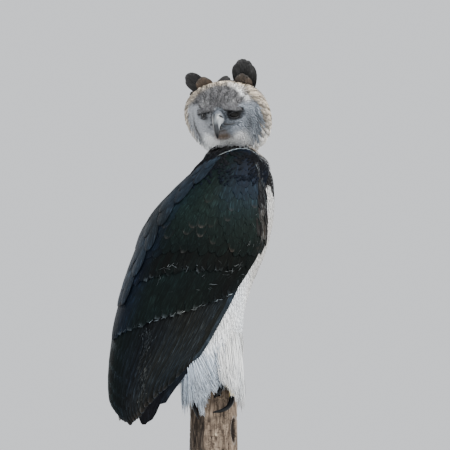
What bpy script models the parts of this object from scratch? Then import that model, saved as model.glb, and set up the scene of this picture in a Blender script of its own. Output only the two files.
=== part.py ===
"""Harpy eagle, life size, gripping the top of a cut trunk on a plain display stand.

Metres, +Z up. The origin is the centre of the stand's underside. The bird's chest faces +X, its right
side faces -Y, and its head is turned over its right shoulder.
"""

import math

import bmesh
import bpy
from mathutils import Matrix, Vector

# Stand and perch
STAND_RADIUS = 0.17
STAND_THICKNESS = 0.022
ROD_RADIUS = 0.012
TRUNK_BOTTOM = 0.085
PERCH_TOP = 0.285
TRUNK_RADIUS = 0.052
TRUNK_FLARE = 0.003

# Gap that touching nodes keep
GAP = 0.0003

# Vane thickness at the shaft and at the edge
SHAFT_THICKNESS = 0.0014
EDGE_THICKNESS = 0.0007

# Torso: height above the perch top, back x, front x, half width
TORSO = [
    (0.085, -0.080, 0.020, 0.036),
    (0.12, -0.122, 0.062, 0.066),
    (0.18, -0.147, 0.072, 0.083),
    (0.25, -0.162, 0.092, 0.095),
    (0.32, -0.162, 0.122, 0.103),
    (0.40, -0.135, 0.142, 0.105),
    (0.47, -0.085, 0.145, 0.096),
    (0.52, -0.036, 0.138, 0.078),
    (0.55, -0.006, 0.116, 0.056),
]

# The black back takes over from the torso behind a slanted plane, and from this height up
MANTLE_LOW = 0.205
MANTLE_PLANE = ((-0.090, 0.205), (0.080, 0.560))
MANTLE_SWELL = 0.006

# Neck: height above the perch top, centre x, centre y, half depth, half width
NECK = [
    (0.475, 0.046, 0.000, 0.066, 0.060),
    (0.505, 0.053, -0.002, 0.074, 0.070),
    (0.530, 0.057, -0.004, 0.076, 0.073),
    (0.547, 0.056, -0.006, 0.070, 0.066),
    (0.560, 0.052, -0.006, 0.058, 0.054),
    (0.574, 0.046, -0.006, 0.038, 0.036),
]

# Folded wing: height above the perch top, centre x, half length in x, half width of the bird there,
# and how far its back and front edges lie from the middle plane
WING = [
    (-0.115, -0.178, 0.034, 0.082, 0.052, 0.064),
    (-0.034, -0.179, 0.064, 0.096, 0.052, 0.074),
    (0.082, -0.138, 0.107, 0.112, 0.050, 0.084),
    (0.199, -0.096, 0.130, 0.126, 0.040, 0.090),
    (0.316, -0.042, 0.147, 0.134, 0.030, 0.092),
    (0.374, -0.027, 0.141, 0.135, 0.030, 0.092),
    (0.432, -0.007, 0.121, 0.130, 0.032, 0.090),
    (0.502, 0.023, 0.083, 0.114, 0.042, 0.082),
    (0.530, 0.036, 0.062, 0.102, 0.048, 0.078),
    (0.562, 0.058, 0.018, 0.082, 0.056, 0.066),
]
WING_EDGE_ANGLE = math.radians(91)
WING_CORE_LOW = 0.165
WING_CORE_HIGH = 0.546
WING_CORE_DEPTH = 0.036
WING_CORE_SINK = 0.006
# The left wing hangs a little lower and further forward than the right, with its tip tucked up
LEFT_WING_DROP = 0.022
LEFT_WING_FORWARD = 0.016
LEFT_WING_TUCK = 0.050

# Tail: height above the perch top, x of its upper side in the middle, half width
TAIL = [
    (-0.10, -0.219, 0.040),
    (-0.03, -0.228, 0.043),
    (0.05, -0.222, 0.040),
    (0.15, -0.196, 0.034),
    (0.27, -0.150, 0.030),
]
TAIL_TIP = -0.076
TAIL_FEATHERS = 7
TAIL_CAMBER = 0.016

# Legs: height above the perch top, centre x, distance from the middle plane, half depth, half width
RIGHT_LEG = [
    (0.002, -0.026, 0.048, 0.034, 0.026),
    (0.030, -0.026, 0.050, 0.044, 0.032),
    (0.075, -0.024, 0.050, 0.050, 0.032),
    (0.13, -0.022, 0.051, 0.058, 0.031),
    (0.20, -0.022, 0.056, 0.064, 0.032),
    (0.26, -0.020, 0.052, 0.062, 0.034),
]
LEFT_LEG = [
    (0.002, 0.026, 0.048, 0.034, 0.026),
    (0.030, 0.024, 0.050, 0.042, 0.032),
    (0.075, 0.018, 0.050, 0.046, 0.032),
    (0.13, 0.008, 0.051, 0.054, 0.031),
    (0.20, -0.008, 0.056, 0.062, 0.032),
    (0.26, -0.016, 0.052, 0.062, 0.034),
]

# Feet
TOE_RADIUS = 0.0088
RIGHT_FOOT = Vector((-0.010, -0.027, PERCH_TOP))
LEFT_FOOT = Vector((0.002, 0.028, PERCH_TOP))
# Toes: heading in degrees from +X for the right foot, length; then the claw's bend and point, each as
# degrees further round the perch, distance from its axis and height above the toe's end
TOES = {
    "inner": (17, 0.056, (0, 0.064, 0.004), (-5, 0.062, -0.030)),
    "middle": (-21, 0.072, (-4, 0.070, -0.034), (-45, 0.065, -0.037)),
    "outer": (-53, 0.042, (-2, 0.070, -0.010), (-15, 0.060, -0.026)),
    "hind": (192, 0.062, (4, 0.076, -0.020), (12, 0.060, -0.052)),
}

# Head: its own frame has +X out along the bill and +Z to the crown
# The turned head presses the ruff flat on its right and leaves it full on its left
RUFF_LEFT = 0.0110
RUFF_RIGHT = 0.0010
HEAD_CENTRE = Vector((0.032, -0.014, PERCH_TOP + 0.676))
HEAD_YAW = math.radians(-118)
HEAD_PITCH = math.radians(32)
HEAD_ROLL = math.radians(-3)
HEAD_FRONT = 0.078
HEAD_BACK = 0.086
HEAD_SIDE = 0.094
HEAD_UP = 0.067
HEAD_DOWN = 0.103
EYE_PLACE = Vector((0.0560, 0.0310, 0.0055))
EYE_RADIUS = 0.0155
LID_RADIUS = 0.0194


def clear_scene():
    for item in list(bpy.data.objects):
        bpy.data.objects.remove(item, do_unlink=True)


def finish_of(name, colour, roughness, metallic=0.0):
    material = bpy.data.materials.new(name)
    material.use_nodes = True
    shader = material.node_tree.nodes["Principled BSDF"]
    shader.inputs["Base Color"].default_value = (*colour, 1.0)
    shader.inputs["Roughness"].default_value = roughness
    shader.inputs["Metallic"].default_value = metallic
    material.diffuse_color = (*colour, 1.0)
    return material


def along(stations, key):
    """The values at key on a smooth curve through stations, which rise by their first value."""
    keys = [row[0] for row in stations]
    key = min(max(key, keys[0]), keys[-1])
    last = len(stations) - 1
    i = max(k for k in range(last) if keys[k] <= key)
    span = keys[i + 1] - keys[i]
    t = (key - keys[i]) / span
    values = []
    for column in range(1, len(stations[0])):
        low, high = stations[i][column], stations[i + 1][column]

        def slope(k, column=column):
            before, after = max(k - 1, 0), min(k + 1, last)
            rise = stations[after][column] - stations[before][column]
            return rise / (keys[after] - keys[before]) * span

        values.append(
            (2 * t**3 - 3 * t**2 + 1) * low
            + (t**3 - 2 * t**2 + t) * slope(i)
            + (3 * t**2 - 2 * t**3) * high
            + (t**3 - t**2) * slope(i + 1)
        )
    return values


def mesh_object(name, points, faces, material=None):
    mesh = bpy.data.meshes.new(name)
    mesh.from_pydata([tuple(p) for p in points], [], faces)
    work = bmesh.new()
    work.from_mesh(mesh)
    bmesh.ops.remove_doubles(work, verts=work.verts, dist=1e-7)
    bmesh.ops.recalc_face_normals(work, faces=work.faces)
    work.to_mesh(mesh)
    work.free()
    if material:
        mesh.materials.append(material)
    item = bpy.data.objects.new(name, mesh)
    bpy.context.scene.collection.objects.link(item)
    return item


def loft(name, rings, material=None):
    """One closed skin over rings of points, with a fan over each end."""
    size = len(rings[0])
    points = [p for ring in rings for p in ring]
    faces = []
    for r in range(len(rings) - 1):
        for k in range(size):
            following = (k + 1) % size
            faces.append((r * size + k, r * size + following, (r + 1) * size + following, (r + 1) * size + k))
    for ring_index in (0, len(rings) - 1):
        centre = sum(rings[ring_index], Vector()) / size
        points.append(centre)
        for k in range(size):
            faces.append((ring_index * size + k, ring_index * size + (k + 1) % size, len(points) - 1))
    return mesh_object(name, points, faces, material)


def oval(centre, half_x, half_y, count, power=2.0):
    """A level ring; a power above 2 makes it squarer."""
    ring = []
    for k in range(count):
        angle = 2 * math.pi * k / count
        c, s = math.cos(angle), math.sin(angle)
        x = math.copysign(abs(c) ** (2 / power), c)
        y = math.copysign(abs(s) ** (2 / power), s)
        ring.append(Vector((centre[0] + half_x * x, centre[1] + half_y * y, centre[2])))
    return ring


def tube(name, centres, radii, count, material=None, squash=1.0):
    """A round limb along centres; squash below 1 makes it narrower across its own bending plane."""
    rings = []
    side = Vector((0, 0, 1)).cross(centres[-1] - centres[0])
    if side.length < 1e-6:
        side = Vector((0, 1, 0))
    side.normalize()
    for i, centre in enumerate(centres):
        ahead = (centres[min(i + 1, len(centres) - 1)] - centres[max(i - 1, 0)]).normalized()
        across = (side - ahead * side.dot(ahead)).normalized()
        up = ahead.cross(across)
        rings.append([
            centre
            + across * (radii[i] * squash * math.cos(2 * math.pi * k / count))
            + up * (radii[i] * math.sin(2 * math.pi * k / count))
            for k in range(count)
        ])
    return loft(name, rings, material)


def applied(item):
    """Bakes the modifiers of item into its mesh."""
    graph = bpy.context.evaluated_depsgraph_get()
    graph.update()
    mesh = bpy.data.meshes.new_from_object(item.evaluated_get(graph))
    item.modifiers.clear()
    item.data = mesh
    return item


def keep_largest(item):
    """Keeps the largest closed surface, which fills sealed hollows and drops loose scraps."""
    work = bmesh.new()
    work.from_mesh(item.data)
    left = set(work.verts)
    groups = []
    while left:
        group = {left.pop()}
        edge = list(group)
        while edge:
            vert = edge.pop()
            for link in vert.link_edges:
                other = link.other_vert(vert)
                if other in left:
                    left.discard(other)
                    group.add(other)
                    edge.append(other)
        groups.append(group)
    groups.sort(key=len, reverse=True)
    loose = [v for group in groups[1:] for v in group]
    bmesh.ops.delete(work, geom=loose, context="VERTS")
    work.to_mesh(item.data)
    work.free()
    return item


def united(item, pieces, solver="MANIFOLD"):
    """Fuses closed pieces into item."""
    group = bpy.data.collections.new(item.name + "_pieces")
    bpy.context.scene.collection.children.link(group)
    for piece in pieces:
        group.objects.link(piece)
    cut = item.modifiers.new("union", "BOOLEAN")
    cut.operation = "UNION"
    cut.operand_type = "COLLECTION"
    cut.collection = group
    cut.solver = solver
    applied(item)
    for piece in pieces:
        bpy.data.objects.remove(piece, do_unlink=True)
    bpy.data.collections.remove(group)
    return keep_largest(item)


def swollen(item, distance):
    """A copy of a closed item whose faces all lie further out by distance."""
    copy = bpy.data.objects.new(item.name + "_swollen", item.data.copy())
    bpy.context.scene.collection.objects.link(copy)
    work = bmesh.new()
    work.from_mesh(copy.data)
    work.normal_update()
    moves = [(v, v.normal * (distance * min(v.calc_shell_factor(), 3.0))) for v in work.verts]
    for vert, move in moves:
        vert.co += move
    work.to_mesh(copy.data)
    work.free()
    return copy


def carved(item, cutters, solver="MANIFOLD"):
    """Takes each closed cutter out of item, and removes the cutters."""
    for cutter in cutters:
        cut = item.modifiers.new("cut", "BOOLEAN")
        cut.operation = "DIFFERENCE"
        cut.object = cutter
        cut.solver = solver
        applied(item)
        bpy.data.objects.remove(cutter, do_unlink=True)
    return keep_largest(item)


def fitted(item, neighbours):
    """Cuts item back to lie face to face with its smooth neighbours."""
    return carved(item, [swollen(n, GAP) for n in neighbours])


def shade(item, angle=40):
    item.data.shade_smooth()
    item.data.set_sharp_from_angle(angle=math.radians(angle))


def surface_frame(surface, a, b):
    """Point, outward normal and the two slopes of surface(a, b)."""
    step = 1e-3
    point = surface(a, b)
    slope_a = (surface(a + step, b) - surface(a - step, b)) / (2 * step)
    slope_b = (surface(a, b + step) - surface(a, b - step)) / (2 * step)
    return point, slope_a.cross(slope_b).normalized(), slope_a, slope_b


def across_step(slope_a, slope_b, direction):
    """The change in (a, b) that moves along direction within the surface."""
    aa, ab, bb = slope_a.dot(slope_a), slope_a.dot(slope_b), slope_b.dot(slope_b)
    da, db = slope_a.dot(direction), slope_b.dot(direction)
    scale = aa * bb - ab * ab
    return (da * bb - db * ab) / scale, (db * aa - da * ab) / scale


LONG_OUTLINE = [(0.0, 0.60), (0.30, 0.95), (0.65, 1.0), (0.91, 0.74), (1.0, 0.26)]
SHORT_OUTLINE = [(0.0, 0.60), (0.48, 1.0), (0.86, 0.80), (1.0, 0.26)]


def vane(surface, root, tip, half_width, lift, roll, outline, sunk=-0.009, facing=1):
    """One feather vane that lies along surface(a, b) from root to tip.

    lift is its height over the surface at the root and the tip, roll raises its +a edge and
    lowers the other, and sunk is the height of its root's end. facing is -1 where the cross
    product of the two slopes points into the body.
    """
    points = []
    for row, (t, width) in enumerate(outline):
        a = root[0] + (tip[0] - root[0]) * t
        b = root[1] + (tip[1] - root[1]) * t
        normal, slope_a, slope_b = surface_frame(surface, a, b)[1:]
        normal *= facing
        ahead = (slope_a * (tip[0] - root[0]) + slope_b * (tip[1] - root[1])).normalized()
        side = ahead.cross(normal)
        if side.dot(slope_a) < 0:
            side = -side
        step_a, step_b = across_step(slope_a, slope_b, side)
        height = sunk if row == 0 else lift[0] + (lift[1] - lift[0]) * t
        for s in (-1.0, 0.0, 1.0):
            reach = s * half_width * width
            at, out = surface_frame(surface, a + step_a * reach, b + step_b * reach)[:2]
            out *= facing
            centre = at + out * (height + roll * s)
            half_thick = (SHAFT_THICKNESS if s == 0 else EDGE_THICKNESS) / 2
            points.append(centre + out * half_thick)
            points.append(centre - out * half_thick)
    faces = []
    for r in range(len(outline) - 1):
        here, following = 6 * r, 6 * (r + 1)
        for layer in (0, 1):
            for c in (0, 2):
                one, two = here + c + layer, here + c + 2 + layer
                three, four = following + c + 2 + layer, following + c + layer
                faces.append((one, two, three))
                faces.append((one, three, four))
        for c in (0, 4):
            faces.append((here + c, here + c + 1, following + c + 1))
            faces.append((here + c, following + c + 1, following + c))
    for base in (0, 6 * (len(outline) - 1)):
        faces.append((base, base + 2, base + 3))
        faces.append((base, base + 3, base + 1))
        faces.append((base + 2, base + 4, base + 5))
        faces.append((base + 2, base + 5, base + 3))
    return mesh_object("vane", points, faces)


def lock(root, control, tip, across, width, thickness):
    """A flat tapered lock of long soft feathers, diamond in section, along a bent curve."""
    rings = []
    for t, share in ((0.0, 0.75), (0.35, 1.0), (0.72, 0.70), (1.0, 0.10)):
        centre = root * (1 - t) ** 2 + control * (2 * t * (1 - t)) + tip * t * t
        ahead = ((control - root) * (1 - t) + (tip - control) * t).normalized()
        side = (across - ahead * across.dot(ahead)).normalized()
        up = ahead.cross(side)
        wide, thick = width * share, thickness * max(share, 0.3)
        rings.append([centre + side * wide, centre + up * thick, centre - side * wide, centre - up * thick])
    return loft("lock", rings)


def smooth_step(value):
    value = min(max(value, 0.0), 1.0)
    return value * value * (3 - 2 * value)


def wing_surface(side):
    """The outside of a folded wing; side is -1 for the right wing and 1 for the left.

    Its parameters are the angle round the body, from the back edge to the front, and the height
    above the perch top.
    """

    def point(angle, height):
        middle, half, width, back, front = along(WING, height)
        angle = max(-WING_EDGE_ANGLE, min(WING_EDGE_ANGLE, angle))
        edge = back if angle < 0 else front
        y = edge + (width - edge) * math.cos(angle)
        shift = smooth_step((0.54 - height) / 0.24) if side > 0 else 0.0
        x = middle + half * math.sin(angle) + LEFT_WING_FORWARD * shift
        tuck = LEFT_WING_TUCK * smooth_step((0.14 - height) / 0.22) if side > 0 else 0.0
        return Vector((x, side * y, PERCH_TOP + height - LEFT_WING_DROP * shift + tuck))

    return point


def wing_core(name, side, material):
    """The arm and hand under the feathers, thick at the shoulder and thinner at its lower edge."""
    surface = wing_surface(side)
    columns, rows = 10, 8
    outer, inner = [], []
    for r in range(rows):
        share = r / (rows - 1)
        height = WING_CORE_HIGH + (WING_CORE_LOW - WING_CORE_HIGH) * share
        depth = WING_CORE_DEPTH * (1 - share**3) + 0.017 * share**3
        for c in range(columns):
            angle = math.radians(-86 + 172 * c / (columns - 1))
            inward = Vector((-math.sin(angle), -side * math.cos(angle), 0))
            point = surface(angle, height)
            sink = WING_CORE_SINK * min(1.0, 0.3 + share * 6)
            outer.append(point + inward * sink)
            inner.append(point + inward * (sink + min(depth, 0.8 * along(WING, height)[1])))
    points = outer + inner
    shift = len(outer)
    faces = []
    for r in range(rows - 1):
        for c in range(columns - 1):
            corner = r * columns + c
            quad = (corner, corner + 1, corner + columns + 1, corner + columns)
            faces.append(quad)
            faces.append(tuple(shift + k for k in reversed(quad)))
    rim = list(range(columns))
    rim += [r * columns + columns - 1 for r in range(1, rows)]
    rim += [(rows - 1) * columns + c for c in range(columns - 2, -1, -1)]
    rim += [r * columns for r in range(rows - 2, 0, -1)]
    for k in range(len(rim)):
        here, following = rim[k], rim[(k + 1) % len(rim)]
        faces.append((here, following, shift + following, shift + here))
    return mesh_object(name, points, faces, material)


# Wing feathers from front to back: angle and height of root and of tip, and half width
FLIGHT = [
    (66, 0.205, 76, 0.050, 0.019),
    (53, 0.205, 64, 0.028, 0.021),
    (41, 0.205, 52, 0.004, 0.021),
    (28, 0.205, 38, -0.020, 0.021),
    (14, 0.205, 22, -0.045, 0.021),
    (0, 0.205, 6, -0.068, 0.021),
    (-15, 0.205, -10, -0.082, 0.021),
    (-30, 0.205, -26, -0.086, 0.021),
    (-46, 0.210, -44, -0.076, 0.021),
    (-64, 0.225, -66, -0.052, 0.019),
]
PRIMARIES = [
    (79, 0.205, 84, 0.008, 0.015),
    (60, 0.200, 77, -0.040, 0.017),
    (40, 0.200, 54, -0.072, 0.018),
    (18, 0.200, 20, -0.086, 0.018),
]
GREATER_COVERTS = [
    (72, 0.300, 66, 0.215, 0.0185),
    (56, 0.290, 50, 0.196, 0.019),
    (40, 0.282, 34, 0.182, 0.019),
    (24, 0.275, 18, 0.168, 0.019),
    (8, 0.268, 2, 0.155, 0.019),
    (-8, 0.262, -14, 0.143, 0.019),
    (-24, 0.256, -29, 0.132, 0.019),
    (-41, 0.252, -45, 0.124, 0.019),
]
MEDIAN_COVERTS = [
    (68, 0.352, 64, 0.272, 0.019),
    (50, 0.350, 46, 0.268, 0.019),
    (33, 0.346, 29, 0.263, 0.019),
    (16, 0.342, 12, 0.258, 0.019),
    (-1, 0.338, -5, 0.253, 0.019),
    (-18, 0.334, -22, 0.248, 0.019),
    (-36, 0.330, -39, 0.242, 0.019),
]
SCAPULARS = [
    (-44, 0.500, -40, 0.405, 0.019),
    (-56, 0.445, -50, 0.335, 0.020),
    (-52, 0.375, -46, 0.265, 0.019),
    (-66, 0.355, -62, 0.235, 0.020),
    (-60, 0.290, -57, 0.165, 0.019),
    (-74, 0.285, -72, 0.150, 0.017),
]


def wing_vanes(side):
    """Feather vanes of one folded wing, tier by tier from the innermost."""
    surface = wing_surface(side)
    vanes = []
    for feathers, lift, roll, sunk, outline in (
        (PRIMARIES, (-0.0185, -0.0120), 0.0045, -0.0185, LONG_OUTLINE),
        (FLIGHT, (-0.0115, -0.0045), -0.0035, -0.0115, LONG_OUTLINE),
        (GREATER_COVERTS, (-0.0034, -0.0020), -0.0015, -0.0085, SHORT_OUTLINE),
        (MEDIAN_COVERTS, (0.0000, 0.0014), -0.0015, -0.0085, SHORT_OUTLINE),
        (SCAPULARS, (0.0030, 0.0045), -0.0014, -0.0085, SHORT_OUTLINE),
    ):
        for root_angle, root_height, tip_angle, tip_height, half_width in feathers:
            root = (math.radians(root_angle), root_height)
            tip = (math.radians(tip_angle), tip_height)
            vanes.append(vane(surface, root, tip, half_width, lift, roll, outline, sunk, -side))
    return vanes


def tail_surface(share, height):
    """The upper side of the folded tail; share runs across it from -1 to 1."""
    x, half = along(TAIL, height)
    return Vector((x + TAIL_CAMBER * share * share, half * share, PERCH_TOP + height))


def build_tail(material):
    """The root of the tail, which holds its feathers."""
    rings = []
    for height, reach in ((0.275, 0.8), (0.24, 1.0), (0.20, 0.95), (0.155, 0.80)):
        x, half = along(TAIL, height)
        depth = 0.012 + 0.26 * (height - 0.155)
        rings.append(oval((x + 0.003 + depth, 0, PERCH_TOP + height), depth, half * reach, 12, 2.4))
    return loft("tail", rings, material)


def tail_vanes():
    vanes = []
    for i in range(TAIL_FEATHERS):
        share = -1 + 2 * i / (TAIL_FEATHERS - 1)
        outward = abs(i - (TAIL_FEATHERS - 1) / 2)
        level = 0.0060 + 0.0030 * outward
        root = (share * 0.50, 0.20)
        tip = (share * 0.62, TAIL_TIP + 0.016 * abs(share) ** 2)
        vanes.append(vane(tail_surface, root, tip, 0.017, (-level, -level), 0.0, LONG_OUTLINE, -level, -1))
    return vanes


def torso_rings(low, swell, count):
    rings = []
    for i in range(count):
        height = low + (TORSO[-1][0] - low) * i / (count - 1)
        back, front, width = along(TORSO, height)
        back -= swell
        middle, depth = (back + front) / 2, (front - back) / 2
        rings.append(oval((middle, 0, PERCH_TOP + height), depth, width, 20, 2.4))
    return rings


def side_prism(name, outline):
    """A block over an outline of x and height above the perch top, wider than the bird."""
    low = [Vector((x, -0.3, PERCH_TOP + z)) for x, z in outline]
    high = [Vector((x, 0.3, PERCH_TOP + z)) for x, z in outline]
    return loft(name, [low, high])


def build_torso(material):
    torso = loft("torso", torso_rings(TORSO[0][0], 0.0, 13), material)
    low, high = MANTLE_PLANE
    behind = side_prism("behind", [low, high, (high[0], 0.7), (-0.4, 0.7), (-0.4, low[1])])
    return carved(torso, [behind])


def mantle_surface(y, height):
    """The skin of the back at a distance y from the middle plane."""
    back, front, width = along(TORSO, height)
    back -= MANTLE_SWELL
    middle, depth = (back + front) / 2, (front - back) / 2
    share = (1 - min(abs(y) / width, 0.95) ** 2.4) ** (1 / 2.4)
    return Vector((middle - depth * share, y, PERCH_TOP + height))


def build_mantle(material):
    mantle = loft("mantle", torso_rings(MANTLE_LOW + GAP, MANTLE_SWELL, 7), material)
    low, high = MANTLE_PLANE
    shift = GAP * 1.1
    ahead = side_prism("ahead", [
        (low[0] - shift, 0.0), (low[0] - shift, low[1]), (high[0] - shift, high[1]),
        (high[0] - shift, 0.7), (0.4, 0.7), (0.4, 0.0),
    ])
    return carved(mantle, [ahead])


def mantle_vanes():
    """Tiers of broad back feathers that fill the space between the wings."""
    vanes = []
    for tier in range(4):
        high = 0.320 + 0.060 * tier
        lift = 0.0020 + 0.0030 * tier
        for column in (-1, 1):
            y = 0.0115 * column
            level = lift + 0.0010 * (column + 1)
            root, tip = (y, high), (y * 1.05, high - 0.088)
            lifts = (level, level + 0.001)
            vanes.append(vane(mantle_surface, root, tip, 0.0145, lifts, 0.0, SHORT_OUTLINE, -0.003, -1))
    return vanes


def build_neck(material):
    rings = []
    for i in range(6):
        height = NECK[0][0] + (NECK[-1][0] - NECK[0][0]) * i / 5
        x, y, depth, width = along(NECK, height)
        rings.append(oval((x, y, PERCH_TOP + height), depth, width, 18))
    return loft("neck", rings, material)


def build_leg(name, stations, side, material):
    rings = []
    for i in range(8):
        height = stations[0][0] + (stations[-1][0] - stations[0][0]) * i / 7
        x, y, depth, width = along(stations, height)
        rings.append(oval((x, side * y, PERCH_TOP + height), depth, width, 12))
    return loft(name, rings, material)


def trouser_locks(stations, side, spread):
    """Long locks that hang from the thigh over the foot and the edge of the perch."""
    locks = []
    for angle, root_height, tip_height, reach, width in spread:
        angle = math.radians(angle)
        out = Vector((math.cos(angle), side * math.sin(angle), 0))
        x, y, depth, half = along(stations, root_height)
        centre = Vector((x, side * y, PERCH_TOP + root_height))
        skin = 1 / math.sqrt((out.x / depth) ** 2 + (out.y / half) ** 2)
        root = centre + out * (skin - 0.006)
        tip = Vector((centre.x, centre.y, PERCH_TOP + tip_height)) + out * reach
        control = centre + out * (reach * 0.55 + skin * 0.55) + Vector((0, 0, (tip_height - root_height) * 0.45))
        across = Vector((-out.y, out.x, 0))
        locks.append(lock(root, control, tip, across, width, 0.0035))
    return locks


def toe_route(foot, heading, length):
    """Points along a toe that crosses the trunk's top and bends over its edge."""
    u = Vector((math.cos(heading), math.sin(heading), 0))
    flat = Vector((foot.x, foot.y, 0))
    rim = TRUNK_RADIUS + 0.002
    b = flat.dot(u)
    edge = -b + math.sqrt(b * b - flat.length_squared + rim * rim)
    out = (flat + u * edge).normalized()
    route = [foot + Vector((0, 0, 0.016))]
    on_top = min(edge, length)
    route.append(foot + u * (on_top * 0.45) + Vector((0, 0, TOE_RADIUS + 0.004)))
    route.append(foot + u * (on_top * 0.85) + Vector((0, 0, TOE_RADIUS * 0.95)))
    over = length - edge
    if over > 0:
        corner = foot + u * edge
        route.append(corner + out * (TOE_RADIUS * 0.65) + Vector((0, 0, TOE_RADIUS * 0.30)))
        if over > 0.012:
            route.append(corner + out * (TOE_RADIUS * 0.95) - Vector((0, 0, over * 0.75)))
    return route


def smooth_route(points, count):
    stations = [(i, *p) for i, p in enumerate(points)]
    last = len(points) - 1
    return [Vector(along(stations, last * k / (count - 1))) for k in range(count)]


def build_toe(route):
    count = 6
    centres = smooth_route(route, count)
    radii = [TOE_RADIUS * (1.12 - 0.34 * k / (count - 1)) for k in range(count)]
    return tube("toe", centres, radii, 6)


def build_claw(name, base, control, tip, radius, material):
    """A talon along one bent curve, tapering to its point."""
    centres, radii = [], []
    for k in range(6):
        t = k / 5
        centres.append(base * (1 - t) ** 2 + control * (2 * t * (1 - t)) + tip * t * t)
        radii.append(radius * (1 - t**1.8) ** 0.8 + 0.0004)
    return tube(name, centres, radii, 6, material)


def round_perch(base, turn, distance, rise):
    """A point turned round the perch's axis from base, in degrees, and raised from it."""
    angle = math.atan2(base.y, base.x) + math.radians(turn)
    return Vector((distance * math.cos(angle), distance * math.sin(angle), base.z + rise))


def build_foot(side_name, foot, mirror, skin, horn):
    """A foot with four toes, and its claws as nodes of their own."""
    toes, claws = [], []
    for name, (heading, length, bend, point) in TOES.items():
        route = toe_route(foot, math.radians(heading) * mirror, length)
        toes.append(build_toe(route))
        ahead = (route[-1] - route[-2]).normalized()
        control = round_perch(route[-1], bend[0] * mirror, bend[1], bend[2])
        tip = round_perch(route[-1], point[0] * mirror, point[1], point[2])
        radius = TOE_RADIUS * (0.64 if name != "hind" else 0.76)
        base = route[-1] - ahead * 0.003
        claws.append(build_claw(f"claw_{side_name}_{name}", base, control, tip, radius, horn))
    centres = [foot + Vector((0, 0, z)) for z in (0.008, 0.014, 0.021, 0.028, 0.034)]
    palm = tube(f"foot_{side_name}", centres, (0.0120, 0.0155, 0.0150, 0.0130, 0.0120), 12, skin)
    united(palm, toes)
    return palm, claws


def trunk_radius(angle, share):
    """Weathered wood: long furrows, one deep groove beside a slab, and a slight flare downward."""
    radius = TRUNK_RADIUS + TRUNK_FLARE * (1 - share)
    radius += 0.0020 * math.sin(2 * angle + 1.1) + 0.0010 * math.sin(3 * angle + 3.0 * share)
    radius += 0.0009 * math.sin(9 * angle + 1.6 * share) + 0.0006 * math.sin(14 * angle + 0.8)
    off = (angle - math.radians(222) + math.pi) % (2 * math.pi) - math.pi
    return radius - 0.0060 * bump(off, 0.0, 0.13)


def build_trunk(material):
    """A weathered, barkless trunk with furrows, a knot hole and a broken top."""
    rings = []
    rows, count = 8, 32
    for r in range(rows):
        share = r / (rows - 1)
        ring = []
        for k in range(count):
            angle = 2 * math.pi * k / count
            height = TRUNK_BOTTOM + (PERCH_TOP - 0.004 - TRUNK_BOTTOM) * share
            if r == rows - 1:
                height += 0.0012 * math.sin(3 * angle) + 0.0008 * math.sin(7 * angle + 1.0)
            radius = trunk_radius(angle, share)
            ring.append(Vector((radius * math.cos(angle), radius * math.sin(angle), height)))
        rings.append(ring)
    for share, height in ((0.90, 0.0), (0.45, 0.001)):
        ring = []
        for k in range(count):
            angle = 2 * math.pi * k / count
            radius = trunk_radius(angle, 1.0) * share
            rough = 0.0010 * math.sin(4 * angle + 2.0) * share
            ring.append(Vector((radius * math.cos(angle), radius * math.sin(angle), PERCH_TOP + height + rough)))
        rings.append(ring)
    trunk = loft("perch_trunk", rings, material)
    hollows = []
    for angle, depth, height, size in ((-33, 0.053, -0.093, (0.010, 0.012, 0.024)),):
        hollow = ball("hollow", Vector((0, 0, 0)), 1.0, 8, 6)
        turn = Matrix.Rotation(math.radians(angle), 4, "Z")
        place = Matrix.Translation(Vector((depth, 0, PERCH_TOP + height)))
        hollow.data.transform(turn @ place @ Matrix.Diagonal(Vector((*size, 1))))
        hollows.append(hollow)
    return carved(trunk, hollows)


def build_stand(base_finish, rod_finish):
    rings = []
    for height, radius in (
        (0.0, STAND_RADIUS - 0.002),
        (0.002, STAND_RADIUS),
        (STAND_THICKNESS - 0.005, STAND_RADIUS),
        (STAND_THICKNESS - 0.0015, STAND_RADIUS - 0.0020),
        (STAND_THICKNESS, STAND_RADIUS - 0.005),
    ):
        rings.append(oval((0, 0, height), radius, radius, 32))
    base = loft("stand_base", rings, base_finish)
    rod_rings = [
        oval((0, 0, height), ROD_RADIUS, ROD_RADIUS, 16)
        for height in (STAND_THICKNESS + GAP, TRUNK_BOTTOM - GAP)
    ]
    rod = loft("stand_rod", rod_rings, rod_finish)
    return base, rod


def head_matrix():
    yaw = Matrix.Rotation(HEAD_YAW, 4, "Z")
    pitch = Matrix.Rotation(HEAD_PITCH, 4, "Y")
    roll = Matrix.Rotation(HEAD_ROLL, 4, "X")
    return Matrix.Translation(HEAD_CENTRE) @ yaw @ pitch @ roll


def bump(value, centre, width):
    return math.exp(-(((value - centre) / width) ** 2))


def head_direction(theta, psi):
    """Unit vector at angle theta off the bill's axis, psi round it from the crown to the left."""
    return Vector((math.cos(theta), math.sin(theta) * math.sin(psi), math.sin(theta) * math.cos(psi)))


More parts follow.
